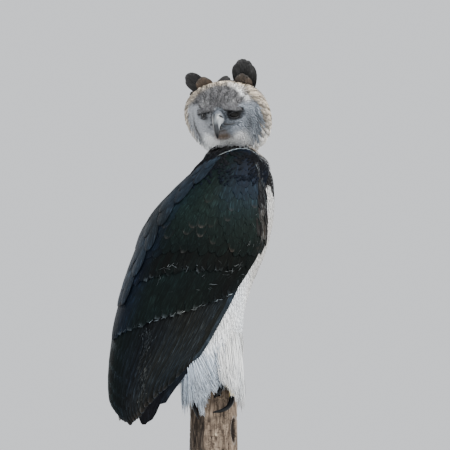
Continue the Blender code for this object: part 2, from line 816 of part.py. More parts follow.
def head_radius(theta, psi):
    """Distance from the head's centre to its feathered surface."""
    d = head_direction(theta, psi)
    depth = HEAD_FRONT if d.x > 0 else HEAD_BACK
    height = HEAD_UP if d.z > 0 else HEAD_DOWN
    radius = 1 / math.sqrt((d.x / depth) ** 2 + (d.y / HEAD_SIDE) ** 2 + (d.z / height) ** 2)
    full = RUFF_LEFT if math.sin(psi) > 0 else RUFF_RIGHT
    psi = abs((psi + math.pi) % (2 * math.pi) - math.pi)
    low = (1 - math.cos(psi)) / 2
    radius += 0.012 * bump(theta, 1.42, 0.24) * min(1, 0.25 + low * 1.3)
    radius += full * bump(theta, 1.45, 0.40) * bump(psi, 2.25, 0.50)
    radius -= 0.005 * bump(theta, 0.98, 0.26) * min(1, low * 1.5)
    radius += 0.0075 * bump(theta, 0.66, 0.20) * bump(psi, 0.98, 0.30)
    radius += 0.0045 * bump(theta, 0.85, 0.36) * bump(psi, 0.0, 0.60)
    radius -= 0.0035 * bump(theta, 0.66, 0.16) * bump(psi, 1.60, 0.30)
    return radius


def head_surface(theta, psi):
    return head_direction(theta, psi) * head_radius(theta, psi)


CREST = [
    # root (x, y, z), tip (x, y, z), half width, curl towards the face
    ((-0.038, 0.040, 0.036), (-0.030, 0.051, 0.114), 0.031, 0.020),
    ((-0.014, 0.048, 0.040), (-0.006, 0.050, 0.088), 0.022, 0.014),
    ((-0.032, -0.060, 0.036), (-0.024, -0.094, 0.091), 0.022, 0.018),
    ((-0.012, -0.046, 0.042), (-0.004, -0.053, 0.083), 0.023, 0.014),
    ((0.000, -0.060, 0.030), (0.004, -0.086, 0.051), 0.013, 0.010),
    ((-0.058, 0.020, 0.034), (-0.096, 0.026, 0.066), 0.024, 0.006),
    ((-0.058, -0.022, 0.034), (-0.096, -0.030, 0.062), 0.024, 0.006),
]
CREST_OUTLINE = [(0.0, 0.40), (0.40, 0.88), (0.72, 1.0), (0.92, 0.70), (1.0, 0.28)]


def crest_vane(root, tip, half_width, curl):
    """A broad crest feather, cupped towards the face."""
    foot, end = Vector(root), Vector(tip)
    foot = foot - (end - foot) * 0.25
    across = (end - foot).cross(Vector((1, 0, 0))).normalized()

    def surface(a, b):
        cup = 0.45 * half_width * (a / half_width) ** 2 * smooth_step(b * 1.3)
        lean = curl * (b * b - 0.5 * b) + cup
        return foot + (end - foot) * b + across * a + Vector((lean, 0, 0))

    return vane(surface, (0.0, 0.0), (0.0, 1.0), half_width, (0, 0), 0.0, CREST_OUTLINE, 0.0)


RUFF_COUNT = 13
RUFF_OUTLINE = [(0.0, 0.7), (0.45, 1.0), (0.85, 0.80), (1.0, 0.35)]


def ruff_vanes():
    """The ring of short broad feathers that frames the face."""
    vanes = []
    for i in range(RUFF_COUNT):
        psi = math.radians(36) + math.radians(288) * i / (RUFF_COUNT - 1)
        root, tip = (1.20, psi), (1.78, psi + 0.02)
        vanes.append(vane(head_surface, root, tip, 0.0170, (0.0016, 0.0060), 0.0, RUFF_OUTLINE, -0.004, -1))
    return vanes


def build_head(material):
    """Skull and face as one star-shaped surface, with ruff, crest, lids and eye sockets."""
    rings = []
    rows, count = 15, 24
    for r in range(1, rows):
        theta = math.pi * r / rows
        rings.append([head_surface(theta, 2 * math.pi * k / count) for k in range(count)])
    head = loft("head", rings, material)
    pieces = [crest_vane(*feather) for feather in CREST] + ruff_vanes()
    for side in (-1, 1):
        pieces.append(ball("lid", eye_place(side), LID_RADIUS, 10, 6))
    united(head, pieces)
    for side in (-1, 1):
        carved(head, [ball("socket", eye_place(side), EYE_RADIUS + GAP * 2.0, 12, 8), lid_opening(side)])
    head.data.transform(head_matrix())
    return head


def eye_place(side):
    return Vector((EYE_PLACE.x, side * EYE_PLACE.y, EYE_PLACE.z))


def eye_axis(side):
    return Vector((0.74, side * 0.67, -0.02)).normalized()


def ball(name, centre, radius, segments, rings_count, material=None):
    rings = []
    for r in range(1, rings_count):
        polar = math.pi * r / rings_count
        ring = []
        for k in range(segments):
            angle = 2 * math.pi * k / segments
            spot = Vector((math.sin(polar) * math.cos(angle), math.sin(polar) * math.sin(angle), math.cos(polar)))
            ring.append(centre + spot * radius)
        rings.append(ring)
    return loft(name, rings, material)


def lid_opening(side):
    """An almond-shaped plug that opens the lids in front of the eye, flat along its top."""
    axis = eye_axis(side)
    across = Vector((0, 0, 1)).cross(axis).normalized()
    up = axis.cross(across)
    rings = []
    for reach in (0.004, 0.040):
        ring = []
        for k in range(8):
            angle = 2 * math.pi * k / 8
            height = 0.0060 if math.sin(angle) > 0 else 0.0095
            ring.append(
                eye_place(side) + axis * reach
                + across * (0.0145 * math.cos(angle)) + up * (height * math.sin(angle))
            )
        rings.append(ring)
    return loft("opening", rings)


UPPER_BILL = [
    # x and z of the section's centre in the head's frame, half height, half width
    (0.0500, 0.0030, 0.0165, 0.0110),
    (0.0680, 0.0030, 0.0172, 0.0165),
    (0.0810, 0.0008, 0.0160, 0.0162),
    (0.0920, -0.0045, 0.0140, 0.0132),
    (0.0988, -0.0130, 0.0114, 0.0104),
    (0.1018, -0.0225, 0.0086, 0.0079),
    (0.1024, -0.0315, 0.0058, 0.0055),
    (0.1014, -0.0385, 0.0031, 0.0030),
    (0.1000, -0.0435, 0.0008, 0.0008),
]

LOWER_BILL = [
    (0.0480, -0.0225, 0.0062, 0.0200),
    (0.0600, -0.0228, 0.0064, 0.0165),
    (0.0720, -0.0235, 0.0060, 0.0128),
    (0.0800, -0.0250, 0.0046, 0.0080),
    (0.0850, -0.0260, 0.0014, 0.0025),
]


def bill_loft(name, sections, count, material):
    rings = []
    for i, (x, z, half_height, half_width) in enumerate(sections):
        before, after = sections[max(i - 1, 0)], sections[min(i + 1, len(sections) - 1)]
        ahead = Vector((after[0] - before[0], 0, after[1] - before[1])).normalized()
        up = Vector((-ahead.z, 0, ahead.x))
        ring = []
        for k in range(count):
            angle = 2 * math.pi * k / count
            narrowing = 1 - 0.18 * math.sin(angle)
            ring.append(
                Vector((x, 0, z))
                + Vector((0, 1, 0)) * (half_width * narrowing * math.cos(angle))
                + up * (half_height * math.sin(angle))
            )
        rings.append(ring)
    return loft(name, rings, material)


def build_bill(horn):
    upper = bill_loft("bill_upper", UPPER_BILL, 12, horn)
    nostrils = []
    for side in (-1, 1):
        slit = ball("nostril", Vector((0, 0, 0)), 1.0, 8, 6)
        slit.data.transform(
            Matrix.Translation(Vector((0.0785, side * 0.0168, 0.0055)))
            @ Matrix.Rotation(math.radians(-50), 4, "Y")
            @ Matrix.Diagonal(Vector((0.0045, 0.0030, 0.0016, 1)))
        )
        nostrils.append(slit)
    carved(upper, nostrils)
    lower = bill_loft("bill_lower", LOWER_BILL, 10, horn)
    carved(lower, [swollen(upper, 0.0008)])
    return upper, lower


RIGHT_LOCKS = [
    # angle from the front towards the outside, height of root and tip, reach from the leg's axis, half width
    (-8, 0.070, 0.014, 0.046, 0.012),
    (18, 0.085, 0.004, 0.044, 0.013),
    (44, 0.070, -0.004, 0.040, 0.014),
    (70, 0.085, -0.014, 0.036, 0.014),
    (96, 0.070, -0.026, 0.038, 0.014),
    (122, 0.085, -0.036, 0.044, 0.014),
    (148, 0.070, -0.048, 0.050, 0.014),
    (173, 0.085, -0.050, 0.048, 0.014),
    (198, 0.070, -0.034, 0.046, 0.012),
]
LEFT_LOCKS = [
    (-26, 0.070, -0.048, 0.046, 0.012),
    (-2, 0.085, -0.020, 0.054, 0.013),
    (22, 0.070, 0.020, 0.066, 0.013),
    (48, 0.085, -0.012, 0.046, 0.014),
    (74, 0.070, -0.028, 0.040, 0.014),
    (100, 0.085, -0.038, 0.042, 0.014),
    (126, 0.070, -0.042, 0.048, 0.014),
    (152, 0.085, -0.046, 0.050, 0.014),
    (178, 0.070, -0.036, 0.048, 0.013),
]


def vent_locks():
    """Soft locks under the belly and the root of the tail."""
    locks = []
    for angle, root_height, tip_height, reach, width in (
        (0, 0.150, 0.055, 0.040, 0.010),
        (171, 0.140, 0.036, 0.088, 0.011),
        (180, 0.140, 0.016, 0.096, 0.012),
        (189, 0.140, 0.036, 0.088, 0.011),
    ):
        angle = math.radians(angle)
        out = Vector((math.cos(angle), math.sin(angle), 0))
        centre = Vector((-0.030, 0, PERCH_TOP + root_height))
        root = centre + out * Vector((0.080 * out.x, 0.050 * out.y)).length
        tip = Vector((centre.x, 0, PERCH_TOP + tip_height)) + out * reach
        control = (root + tip) / 2 + out * 0.012
        locks.append(lock(root, control, tip, Vector((-out.y, out.x, 0)), width, 0.0035))
    return locks


def main():
    clear_scene()
    slate = finish_of("slate_feather", (0.035, 0.040, 0.045), 0.6)
    black = finish_of("black_feather", (0.02, 0.02, 0.022), 0.7)
    white = finish_of("white_feather", (0.80, 0.79, 0.76), 0.8)
    grey = finish_of("grey_feather", (0.42, 0.42, 0.43), 0.8)
    banded = finish_of("tail_feather", (0.16, 0.16, 0.16), 0.7)
    horn = finish_of("dark_horn", (0.05, 0.05, 0.055), 0.25)
    pale_horn = finish_of("bill_horn", (0.32, 0.35, 0.38), 0.3)
    eye = finish_of("eye", (0.03, 0.025, 0.02), 0.05)
    skin = finish_of("foot_skin", (0.62, 0.48, 0.14), 0.55)
    wood = finish_of("weathered_wood", (0.33, 0.26, 0.19), 0.85)
    stand_wood = finish_of("stand_wood", (0.10, 0.07, 0.05), 0.4)
    steel = finish_of("stand_steel", (0.45, 0.45, 0.46), 0.35, 1.0)

    build_stand(stand_wood, steel)
    trunk = build_trunk(wood)
    torso = build_torso(white)
    mantle = build_mantle(slate)
    neck = build_neck(black)
    neck_cutters = [swollen(neck, 2 * GAP) for side_name in ("right", "left")]
    fitted(neck, [torso, mantle])
    tail = fitted(build_tail(banded), [torso, mantle])

    legs, feet = [], []
    for side_name, foot, mirror in (("right", RIGHT_FOOT, 1), ("left", LEFT_FOOT, -1)):
        feet.append(build_foot(side_name, foot, mirror, skin, horn))
    for palm, claws in feet:
        for claw in claws:
            fitted(claw, [palm])
        fitted(trunk, [palm, *claws])
    for side_name, stations, side, spread, (palm, claws) in (
        ("right", RIGHT_LEG, -1, RIGHT_LOCKS, feet[0]),
        ("left", LEFT_LEG, 1, LEFT_LOCKS, feet[1]),
    ):
        leg = build_leg(f"leg_{side_name}", stations, side, white)
        fitted(palm, [leg])
        united(leg, trouser_locks(stations, side, spread))
        fitted(leg, [torso, trunk, palm, *claws])
        legs.append(leg)

    head = build_head(grey)
    upper, lower = build_bill(pale_horn)
    for piece in (upper, lower):
        piece.data.transform(head_matrix())
    fitted(head, [upper, lower, neck])
    for side, side_name in ((-1, "right"), (1, "left")):
        globe = ball(f"eye_{side_name}", eye_place(side), EYE_RADIUS, 12, 8, eye)
        globe.data.transform(head_matrix())

    for side, side_name in ((-1, "right"), (1, "left")):
        wing = wing_core(f"wing_{side_name}", side, slate)
        united(wing, wing_vanes(side))
        fitted(wing, [torso, mantle])
        carved(wing, [neck_cutters.pop()])
    united(mantle, mantle_vanes())
    united(tail, tail_vanes())
    united(torso, vent_locks())

    total = 0
    for item in bpy.context.scene.objects:
        shade(item)
        item.data.calc_loop_triangles()
        count = len(item.data.loop_triangles)
        total += count
        print(f"{item.name}: {count} triangles")
    print(f"total: {total} triangles")


main()
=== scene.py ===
# %% [markdown]
# # Harpy eagle: the looks
# The frame gives the bird's solids at their real size. This lesson dresses them in one skin and then
# in feathers, tier by tier. They are thin solid vanes that follow the surfaces they grow from, made as
# arrays of points with numpy, one mesh for each part of the plumage.

import math

import bmesh
import bpy
import numpy as np
from mathutils import Matrix, Vector


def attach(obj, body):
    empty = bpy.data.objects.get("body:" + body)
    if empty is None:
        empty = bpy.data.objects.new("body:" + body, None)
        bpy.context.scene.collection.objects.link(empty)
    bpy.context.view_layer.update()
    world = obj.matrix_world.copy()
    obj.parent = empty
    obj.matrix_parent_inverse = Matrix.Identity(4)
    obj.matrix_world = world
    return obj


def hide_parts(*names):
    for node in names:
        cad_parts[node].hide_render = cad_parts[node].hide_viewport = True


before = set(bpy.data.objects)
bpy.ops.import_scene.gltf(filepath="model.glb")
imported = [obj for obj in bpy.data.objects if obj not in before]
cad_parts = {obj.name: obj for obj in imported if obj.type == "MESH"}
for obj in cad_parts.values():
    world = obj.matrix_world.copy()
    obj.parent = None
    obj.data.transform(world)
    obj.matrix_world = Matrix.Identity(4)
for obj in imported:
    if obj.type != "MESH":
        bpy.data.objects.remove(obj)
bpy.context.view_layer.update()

# %% [markdown]
# Heights are in metres from the top of the perch, the chest faces +X and the right side -Y. A smooth
# curve through a few stations gives each shape, as a hull follows its frames. One random generator with a
# fixed seed gives the same bird in each run.

# %% Sizes of the body and the neck
PERCH_TOP = 0.285
RANDOM = np.random.default_rng(7)
draw = RANDOM.uniform

# height, back x, front x, half width
TORSO = [
    (0.085, -0.08, 0.02, 0.036),
    (0.12, -0.122, 0.062, 0.066),
    (0.18, -0.147, 0.072, 0.083),
    (0.25, -0.162, 0.092, 0.095),
    (0.32, -0.162, 0.122, 0.103),
    (0.4, -0.135, 0.142, 0.105),
    (0.47, -0.085, 0.145, 0.096),
    (0.52, -0.036, 0.138, 0.078),
    (0.55, -0.006, 0.116, 0.056),
]
# height, centre x, centre y, half depth, half width
NECK = [
    (0.475, 0.046, 0.000, 0.066, 0.06),
    (0.505, 0.053, -0.002, 0.074, 0.07),
    (0.53, 0.057, -0.004, 0.076, 0.073),
    (0.547, 0.056, -0.006, 0.07, 0.066),
    (0.56, 0.052, -0.006, 0.058, 0.054),
    (0.574, 0.046, -0.006, 0.038, 0.036),
]
print("the body is", round(2 * max(row[3] for row in TORSO), 3), "m wide")

# %% [markdown]
# A folded wing is a shell on the body's side, and the left one hangs lower and further forward. The tail
# is a narrow, slightly arched sheet behind them.

# %% Sizes of the wings and the tail
# height, centre x, half length in x, half width of the bird, distance of back and front edges
WING = [
    (-0.115, -0.178, 0.034, 0.082, 0.052, 0.064),
    (-0.034, -0.179, 0.064, 0.096, 0.052, 0.074),
    (0.082, -0.138, 0.107, 0.112, 0.05, 0.084),
    (0.199, -0.096, 0.13, 0.126, 0.04, 0.09),
    (0.316, -0.042, 0.147, 0.134, 0.03, 0.092),
    (0.374, -0.027, 0.141, 0.135, 0.03, 0.092),
    (0.432, -0.007, 0.121, 0.13, 0.032, 0.09),
    (0.502, 0.023, 0.083, 0.114, 0.042, 0.082),
    (0.53, 0.036, 0.062, 0.102, 0.048, 0.078),
    (0.562, 0.058, 0.018, 0.082, 0.056, 0.066),
]
LEFT_WING_DROP, LEFT_WING_FORWARD, LEFT_WING_TUCK = 0.022, 0.016, 0.05
# height, x of the tail's upper side in the middle, half width
TAIL = [
    (-0.1, -0.219, 0.04),
    (-0.03, -0.228, 0.043),
    (0.05, -0.222, 0.04),
    (0.15, -0.196, 0.034),
    (0.27, -0.15, 0.03),
]
TAIL_TIP, TAIL_CAMBER = -0.076, 0.016
print("the folded wing is", round(WING[-1][0] - WING[0][0], 3), "m tall")

# %% [markdown]
# The legs are tapering rings of soft feathers. The head has a frame of its own, with +X along the bill
# and +Z to the crown, turned over the right shoulder. The ruff is fuller on the left.

# %% Sizes of the legs and the head
# height, centre x, distance from the middle plane, half depth, half width, for the right and left
LEGS = {
    -1: [
        (0.002, -0.026, 0.048, 0.034, 0.026),
        (0.03, -0.026, 0.05, 0.044, 0.032),
        (0.075, -0.024, 0.05, 0.05, 0.032),
        (0.13, -0.022, 0.051, 0.058, 0.031),
        (0.2, -0.022, 0.056, 0.064, 0.032),
        (0.26, -0.02, 0.052, 0.062, 0.034),
    ],
    1: [
        (0.002, 0.026, 0.048, 0.034, 0.026),
        (0.03, 0.024, 0.05, 0.042, 0.032),
        (0.075, 0.018, 0.05, 0.046, 0.032),
        (0.13, 0.008, 0.051, 0.054, 0.031),
        (0.2, -0.008, 0.056, 0.062, 0.032),
        (0.26, -0.016, 0.052, 0.062, 0.034),
    ],
}
SIDES = ((-1, "right"), (1, "left"))
HEAD_CENTRE = Vector((0.032, -0.014, PERCH_TOP + 0.676))
HEAD_TURN = (math.radians(-118), math.radians(32), math.radians(-3))
RUFF_LEFT, RUFF_RIGHT = 0.011, 0.001
HEAD_FRONT, HEAD_BACK, HEAD_SIDE, HEAD_UP, HEAD_DOWN = 0.078, 0.086, 0.094, 0.067, 0.103
EYE_SPOT, EYE_RADIUS = np.array((0.056, 0.031, 0.0055)), 0.0155
print("the head's centre:", [round(v, 3) for v in HEAD_CENTRE])

# %% [markdown]
# The photo was taken from a little below and behind the bird's right side. A long lens from about three
# metres keeps the shape flat, and one of the 450 pixels covers 2.28 mm at the bird.

# %% Camera
METRES_PER_PIXEL = 0.00228
FRAME_PIXELS = 450
TRUNK_MIDDLE_PIXEL = (213, 388)
TRUNK_RADIUS = 0.052
SENSOR_WIDTH = 36
CAMERA_DISTANCE = 2.9
CAMERA_TURN, CAMERA_RISE = math.radians(-8), math.radians(-12)

back = Vector((
    math.sin(CAMERA_TURN) * math.cos(CAMERA_RISE),
    -math.cos(CAMERA_TURN) * math.cos(CAMERA_RISE),
    math.sin(CAMERA_RISE),
))
right = Vector((math.cos(CAMERA_TURN), math.sin(CAMERA_TURN), 0))
above = right.cross(-back)
trunk_edge = Vector((0, -TRUNK_RADIUS, PERCH_TOP))
to_right = (FRAME_PIXELS / 2 - TRUNK_MIDDLE_PIXEL[0]) * METRES_PER_PIXEL
to_top = (TRUNK_MIDDLE_PIXEL[1] - FRAME_PIXELS / 2) * METRES_PER_PIXEL
aim = right * to_right + above * (trunk_edge.dot(above) + to_top)

camera_data = bpy.data.cameras.new("camera")
camera_data.sensor_width = SENSOR_WIDTH
camera_data.lens = SENSOR_WIDTH * CAMERA_DISTANCE / (FRAME_PIXELS * METRES_PER_PIXEL)
camera = bpy.data.objects.new("camera", camera_data)
bpy.context.scene.collection.objects.link(camera)
camera.location = aim + back * CAMERA_DISTANCE
camera.rotation_mode = "QUATERNION"
camera.rotation_quaternion = (-back).to_track_quat("-Z", "Y")
bpy.context.scene.camera = camera
print("camera", [round(v, 3) for v in camera.location], "lens", round(camera_data.lens, 1), "mm")

# %% [markdown]
# A pattern is a chain of small nodes. A class whose operators add the Math nodes lets `1 - rim * 0.4`
# read as what it does.

# %% A socket that can be reckoned with
class Wire:
    def __init__(self, finish, socket):
        self.finish = finish
        self.socket = socket

    def maths(self, operation, first, second=None):
        values = {0: first} if second is None else {0: first, 1: second}
        return self.finish.add("ShaderNodeMath", {"operation": operation}, values)

    def __add__(self, other):
        return self.maths("ADD", self, other)

    def __mul__(self, other):
        return self.maths("MULTIPLY", self, other)

    __radd__, __rmul__ = __add__, __mul__

    def __sub__(self, other):
        return self.maths("SUBTRACT", self, other)

    def __rsub__(self, other):
        return self.maths("SUBTRACT", other, self)

    def __abs__(self):
        return self.maths("ABSOLUTE", self)

    def between(self, low, high):
        """0 below low, 1 above high, and smooth in the middle."""
        settings = {"interpolation_type": "SMOOTHSTEP"}
        return self.finish.add("ShaderNodeMapRange", settings, {0: self, 1: low, 2: high})


print("a wire takes +, -, * and abs")

# %% [markdown]
# Every material here is one Principled shader with patterns fed into it, so a class keeps the shader and
# adds nodes to it. Patterns follow a point's place on the object, so only the feathers' barbs need a map.

# %% A material in the making
class Finish:
    def __init__(self, name, **fixed):
        self.material = bpy.data.materials.new(name)
        self.material.use_nodes = True
        self.tree = self.material.node_tree
        self.shader = self.tree.nodes["Principled BSDF"]
        for socket, value in fixed.items():
            self.shader.inputs[socket.replace("_", " ")].default_value = value

    def add(self, kind, settings=None, values=None, out=0):
        """Adds a node, sets it up, then gives its sockets their values or links."""
        node = self.tree.nodes.new(kind)
        for name, value in (settings or {}).items():
            setattr(node, name, value)
        for socket, value in (values or {}).items():
            if isinstance(value, Wire):
                self.tree.links.new(value.socket, node.inputs[socket])
            else:
                node.inputs[socket].default_value = value
        return Wire(self, node.outputs[out])

    def feed(self, **sockets):
        for name, wire in sockets.items():
            self.tree.links.new(wire.socket, self.shader.inputs[name.replace("_", " ")])

    def mix(self, factor, first, second, blend="MIX"):
        """Mixes two colours, given as wires or as triples."""
        values = {0: factor}
        for socket, colour in ((6, first), (7, second)):
            values[socket] = colour if isinstance(colour, Wire) else (*colour, 1)
        return self.add("ShaderNodeMix", {"data_type": "RGBA", "blend_type": blend}, values, 2)

    def tint(self):
        return self.add("ShaderNodeVertexColor", {"layer_name": "tint"})

    def toned(self, colour, tone):
        """A colour made lighter or darker by a tone, where 1 leaves it as it is."""
        grey = self.add("ShaderNodeCombineColor", {}, {k: tone for k in range(3)})
        return self.mix(1.0, colour, grey, "MULTIPLY")

    def noise(self, scale, detail=2.0, vector=None):
        """A random pattern with this many waves a metre, over the object or over a vector."""
        values = {"Vector": vector or self.place(), "Scale": scale, "Detail": detail}
        return self.add("ShaderNodeTexNoise", {}, values)

    def place(self):
        return self.add("ShaderNodeTexCoord", {}, {}, 3)

    def grain(self, scales, detail=2.0):
        """Noise with its own number of waves a metre in x, y and z."""
        values = {"Vector": self.place(), "Scale": scales}
        return self.noise(1.0, detail, self.add("ShaderNodeMapping", {}, values))

    def bump(self, height, depth):
        """Raises or sinks the surface by a pattern, at most depth metres."""
        self.feed(Normal=self.add("ShaderNodeBump", {}, {"Height": height, "Distance": depth}))


print("a finish can mix, tone, bump and add noise or grain")

# %% [markdown]
# Straight steps between the stations would show as facets. A cubic curve keeps every station and bends
# smoothly between, and it takes whole arrays, so thousands of feathers are placed at once.

# %% Curves through stations
def along(stations, key):
    """One array for each column of stations, on a smooth curve at the keys."""
    table = np.array(stations, float)
    keys = table[:, 0]
    key = np.clip(np.asarray(key, float), keys[0], keys[-1])
    i = np.clip(np.searchsorted(keys, key, side="right") - 1, 0, len(keys) - 2)
    before = np.maximum(np.arange(len(keys)) - 1, 0)
    after = np.minimum(np.arange(len(keys)) + 1, len(keys) - 1)
    span = keys[i + 1] - keys[i]
    t = (key - keys[i]) / span
    curves = []
    for column in table.T[1:]:
        slope = (column[after] - column[before]) / (keys[after] - keys[before])
        curves.append(
            (2 * t**3 - 3 * t**2 + 1) * column[i]
            + (t**3 - 2 * t**2 + t) * slope[i] * span
            + (3 * t**2 - 2 * t**3) * column[i + 1]
            + (t**3 - t**2) * slope[i + 1] * span
        )
    return curves


def ramp(value, low=0.0, high=1.0):
    value = np.clip((np.asarray(value, float) - low) / (high - low), 0, 1)
    return value * value * (3 - 2 * value)


def bump_at(value, centre, width):
    return np.exp(-(((value - centre) / width) ** 2))


def unit(vectors):
    return vectors / np.maximum(np.linalg.norm(vectors, axis=-1, keepdims=True), 1e-9)


def pairs(first, second):
    return np.stack([first, second], -1)


def points_of(x, y, z):
    return np.stack(np.broadcast_arrays(x, y, z), axis=-1).astype(float)


def ring_of(count):
    return np.linspace(0, 2 * math.pi, count, endpoint=False)


print("half width of the body 0.3 m up:", round(float(along(TORSO, 0.3)[2]), 4), "m")

# %% [markdown]
# Every part of the body is a function that turns two numbers, such as an angle and a height, into a
# point. Feathers can be laid anywhere on it, without a mesh of the body.

# %% Surfaces of the body
TORSO_SQUARENESS = 2.4


def rounded(angle, power):
    """Cosine and sine of a ring that a power above 2 makes squarer."""
    c, s = np.cos(angle), np.sin(angle)
    return np.sign(c) * np.abs(c) ** (2 / power), np.sign(s) * np.abs(s) ** (2 / power)


def torso_surface(angle, height):
    """Angle is counted from the chest towards the left side."""
    back_x, front_x, width = along(TORSO, height)
    c, s = rounded(angle, TORSO_SQUARENESS)
    x = (back_x + front_x) / 2 + (front_x - back_x) / 2 * c
    return points_of(x, width * s, PERCH_TOP + height)


def mantle_surface(y, height):
    """The skin of the back at a distance y from the middle plane."""
    back_x, front_x, width = along(TORSO, height)
    back_x = back_x - 0.006
    share = (1 - np.minimum(np.abs(y) / width, 0.95) ** TORSO_SQUARENESS) ** (1 / TORSO_SQUARENESS)
    return points_of((back_x + front_x) / 2 - (front_x - back_x) / 2 * share, y, PERCH_TOP + height)


def neck_surface(angle, height):
    x, y, depth, width = along(NECK, height)
    return points_of(x + depth * np.cos(angle), y + width * np.sin(angle), PERCH_TOP + height)


def leg_surface(side):
    def point(angle, height):
        """Angle is counted from the front towards the outside."""
        x, y, depth, width = along(LEGS[side], height)
        x, y = x + depth * np.cos(angle), y + width * np.sin(angle)
        return points_of(x, side * y, PERCH_TOP + height)

    return point


def tail_surface(share, height):
    """Share runs across the tail from -1 to 1."""
    x, half = along(TAIL, height)
    return points_of(x + TAIL_CAMBER * share * share, half * share, PERCH_TOP + height)


print("a point of the chest:", torso_surface(np.array(0.0), np.array(0.4)).round(3))

# %% [markdown]
# The wing bulges outward between its back and front edges. The left wing slides down and forward below
# the shoulder, and its tip is tucked under the tail's side.

# %% Surface of a wing
def wing_surface(side):
    def point(angle, height):
        """Angle runs from the wing's back edge, -90 degrees, to its front edge."""
        middle, half, width, back_y, front_y = along(WING, height)
        angle = np.clip(angle, -math.radians(91), math.radians(91))
        edge = np.where(angle < 0, back_y, front_y)
        y = edge + (width - edge) * np.cos(angle)
        shift = ramp((0.54 - height) / 0.24) if side > 0 else 0.0
        tuck = LEFT_WING_TUCK * ramp((0.14 - height) / 0.22) if side > 0 else 0.0
        x = middle + half * np.sin(angle) + LEFT_WING_FORWARD * shift
        return points_of(x, side * y, PERCH_TOP + height - LEFT_WING_DROP * shift + tuck)

    return point


print("tip of the left wing:", wing_surface(1)(np.array(0.0), np.array(-0.115)).round(3))

# %% [markdown]
# The head is drawn in angles, like a globe whose pole is the bill. An egg shape comes first, and smooth
# bumps raise the ruff and brows and sink the sides of the face.

# %% The head as a surface round its centre
head_turn = (
    Matrix.Translation(HEAD_CENTRE)
    @ Matrix.Rotation(HEAD_TURN[0], 4, "Z")
    @ Matrix.Rotation(HEAD_TURN[1], 4, "Y")
    @ Matrix.Rotation(HEAD_TURN[2], 4, "X")
)
HEAD_AXES = np.array(head_turn.to_3x3())
HEAD_SPOT = np.array(HEAD_CENTRE)
# height of the bump, then its centre and width along theta and round psi
HEAD_BUMPS = {
    "brow": (0.0075, 0.66, 0.2, 0.98, 0.3),
    "crown": (0.0045, 0.85, 0.36, 0.0, 0.6),
    "side of the face": (-0.0035, 0.66, 0.16, 1.6, 0.3),
}


def from_head(points):
    """Points of the head's own frame, in the row's frame."""
    return np.asarray(points, float) @ HEAD_AXES.T + HEAD_SPOT


def into_head(points):
    return (np.asarray(points, float) - HEAD_SPOT) @ HEAD_AXES


def turn_of(psi):
    """How far a place is turned from the crown, on either side."""
    return np.abs((psi + math.pi) % (2 * math.pi) - math.pi)


def head_local(theta, psi, inset=0.0):
    """Theta is the angle off the bill's axis, and psi turns round it from the crown to the left."""
    direction = points_of(np.cos(theta), np.sin(theta) * np.sin(psi), np.sin(theta) * np.cos(psi))
    x, y, z = np.moveaxis(direction, -1, 0)
    depth = np.where(x > 0, HEAD_FRONT, HEAD_BACK)
    tall = np.where(z > 0, HEAD_UP, HEAD_DOWN)
    radius = 1 / np.sqrt((x / depth) ** 2 + (y / HEAD_SIDE) ** 2 + (z / tall) ** 2)
    full = np.where(np.sin(psi) > 0, RUFF_LEFT, RUFF_RIGHT)
    turn = turn_of(psi)
    low = (1 - np.cos(turn)) / 2
    radius = radius + 0.012 * bump_at(theta, 1.42, 0.24) * np.minimum(1, 0.25 + low * 1.3)
    radius = radius + full * bump_at(theta, 1.45, 0.4) * bump_at(turn, 2.25, 0.5)
    radius = radius - 0.005 * bump_at(theta, 0.98, 0.26) * np.minimum(1, low * 1.5)
    for rise, at_theta, long, at_turn, wide in HEAD_BUMPS.values():
        radius = radius + rise * bump_at(theta, at_theta, long) * bump_at(turn, at_turn, wide)
    return direction * (radius - inset)[..., None]


def head_surface(theta, psi):
    return from_head(head_local(theta, psi))


print("crown", head_surface(np.array(1.2), np.array(0.0)).round(3))

# %% [markdown]
# Skin and feathers must agree, or the skin flashes through the gaps, so both ask one set of functions for
# the colour of a place. Colours are linear, and even the black feathers keep a little light.

# %% Colours
WHITE = np.array((0.82, 0.83, 0.84))
CREAM = np.array((0.46, 0.39, 0.3))
FACE_GREY = np.array((0.19, 0.215, 0.25))
MID_GREY = np.array((0.08, 0.08, 0.084))
PALE_CHEEK = np.array((0.34, 0.35, 0.37))
DARK_GREY = np.array((0.012, 0.0125, 0.014))
BLACK = np.array((0.0035, 0.0035, 0.004))
SLATE = np.array((0.006, 0.0072, 0.0085))
CHIN_TAN_AND_SHADE = np.array((0.12, 0.075, 0.045))


def blended(first, second, share):
    """A share of the way from one colour to another, as single colours or arrays of them."""
    first, second = np.asarray(first, float), np.asarray(second, float)
    return first + (second - first) * np.asarray(share)[..., None]


def painted(colour, *layers):
    """A colour under layers, each a colour and how much of it covers what is below."""
    for layer_colour, share in layers:
        colour = blended(colour, layer_colour, share)
    return colour


print("half black, half white:", blended(BLACK, WHITE, 0.5).round(3))
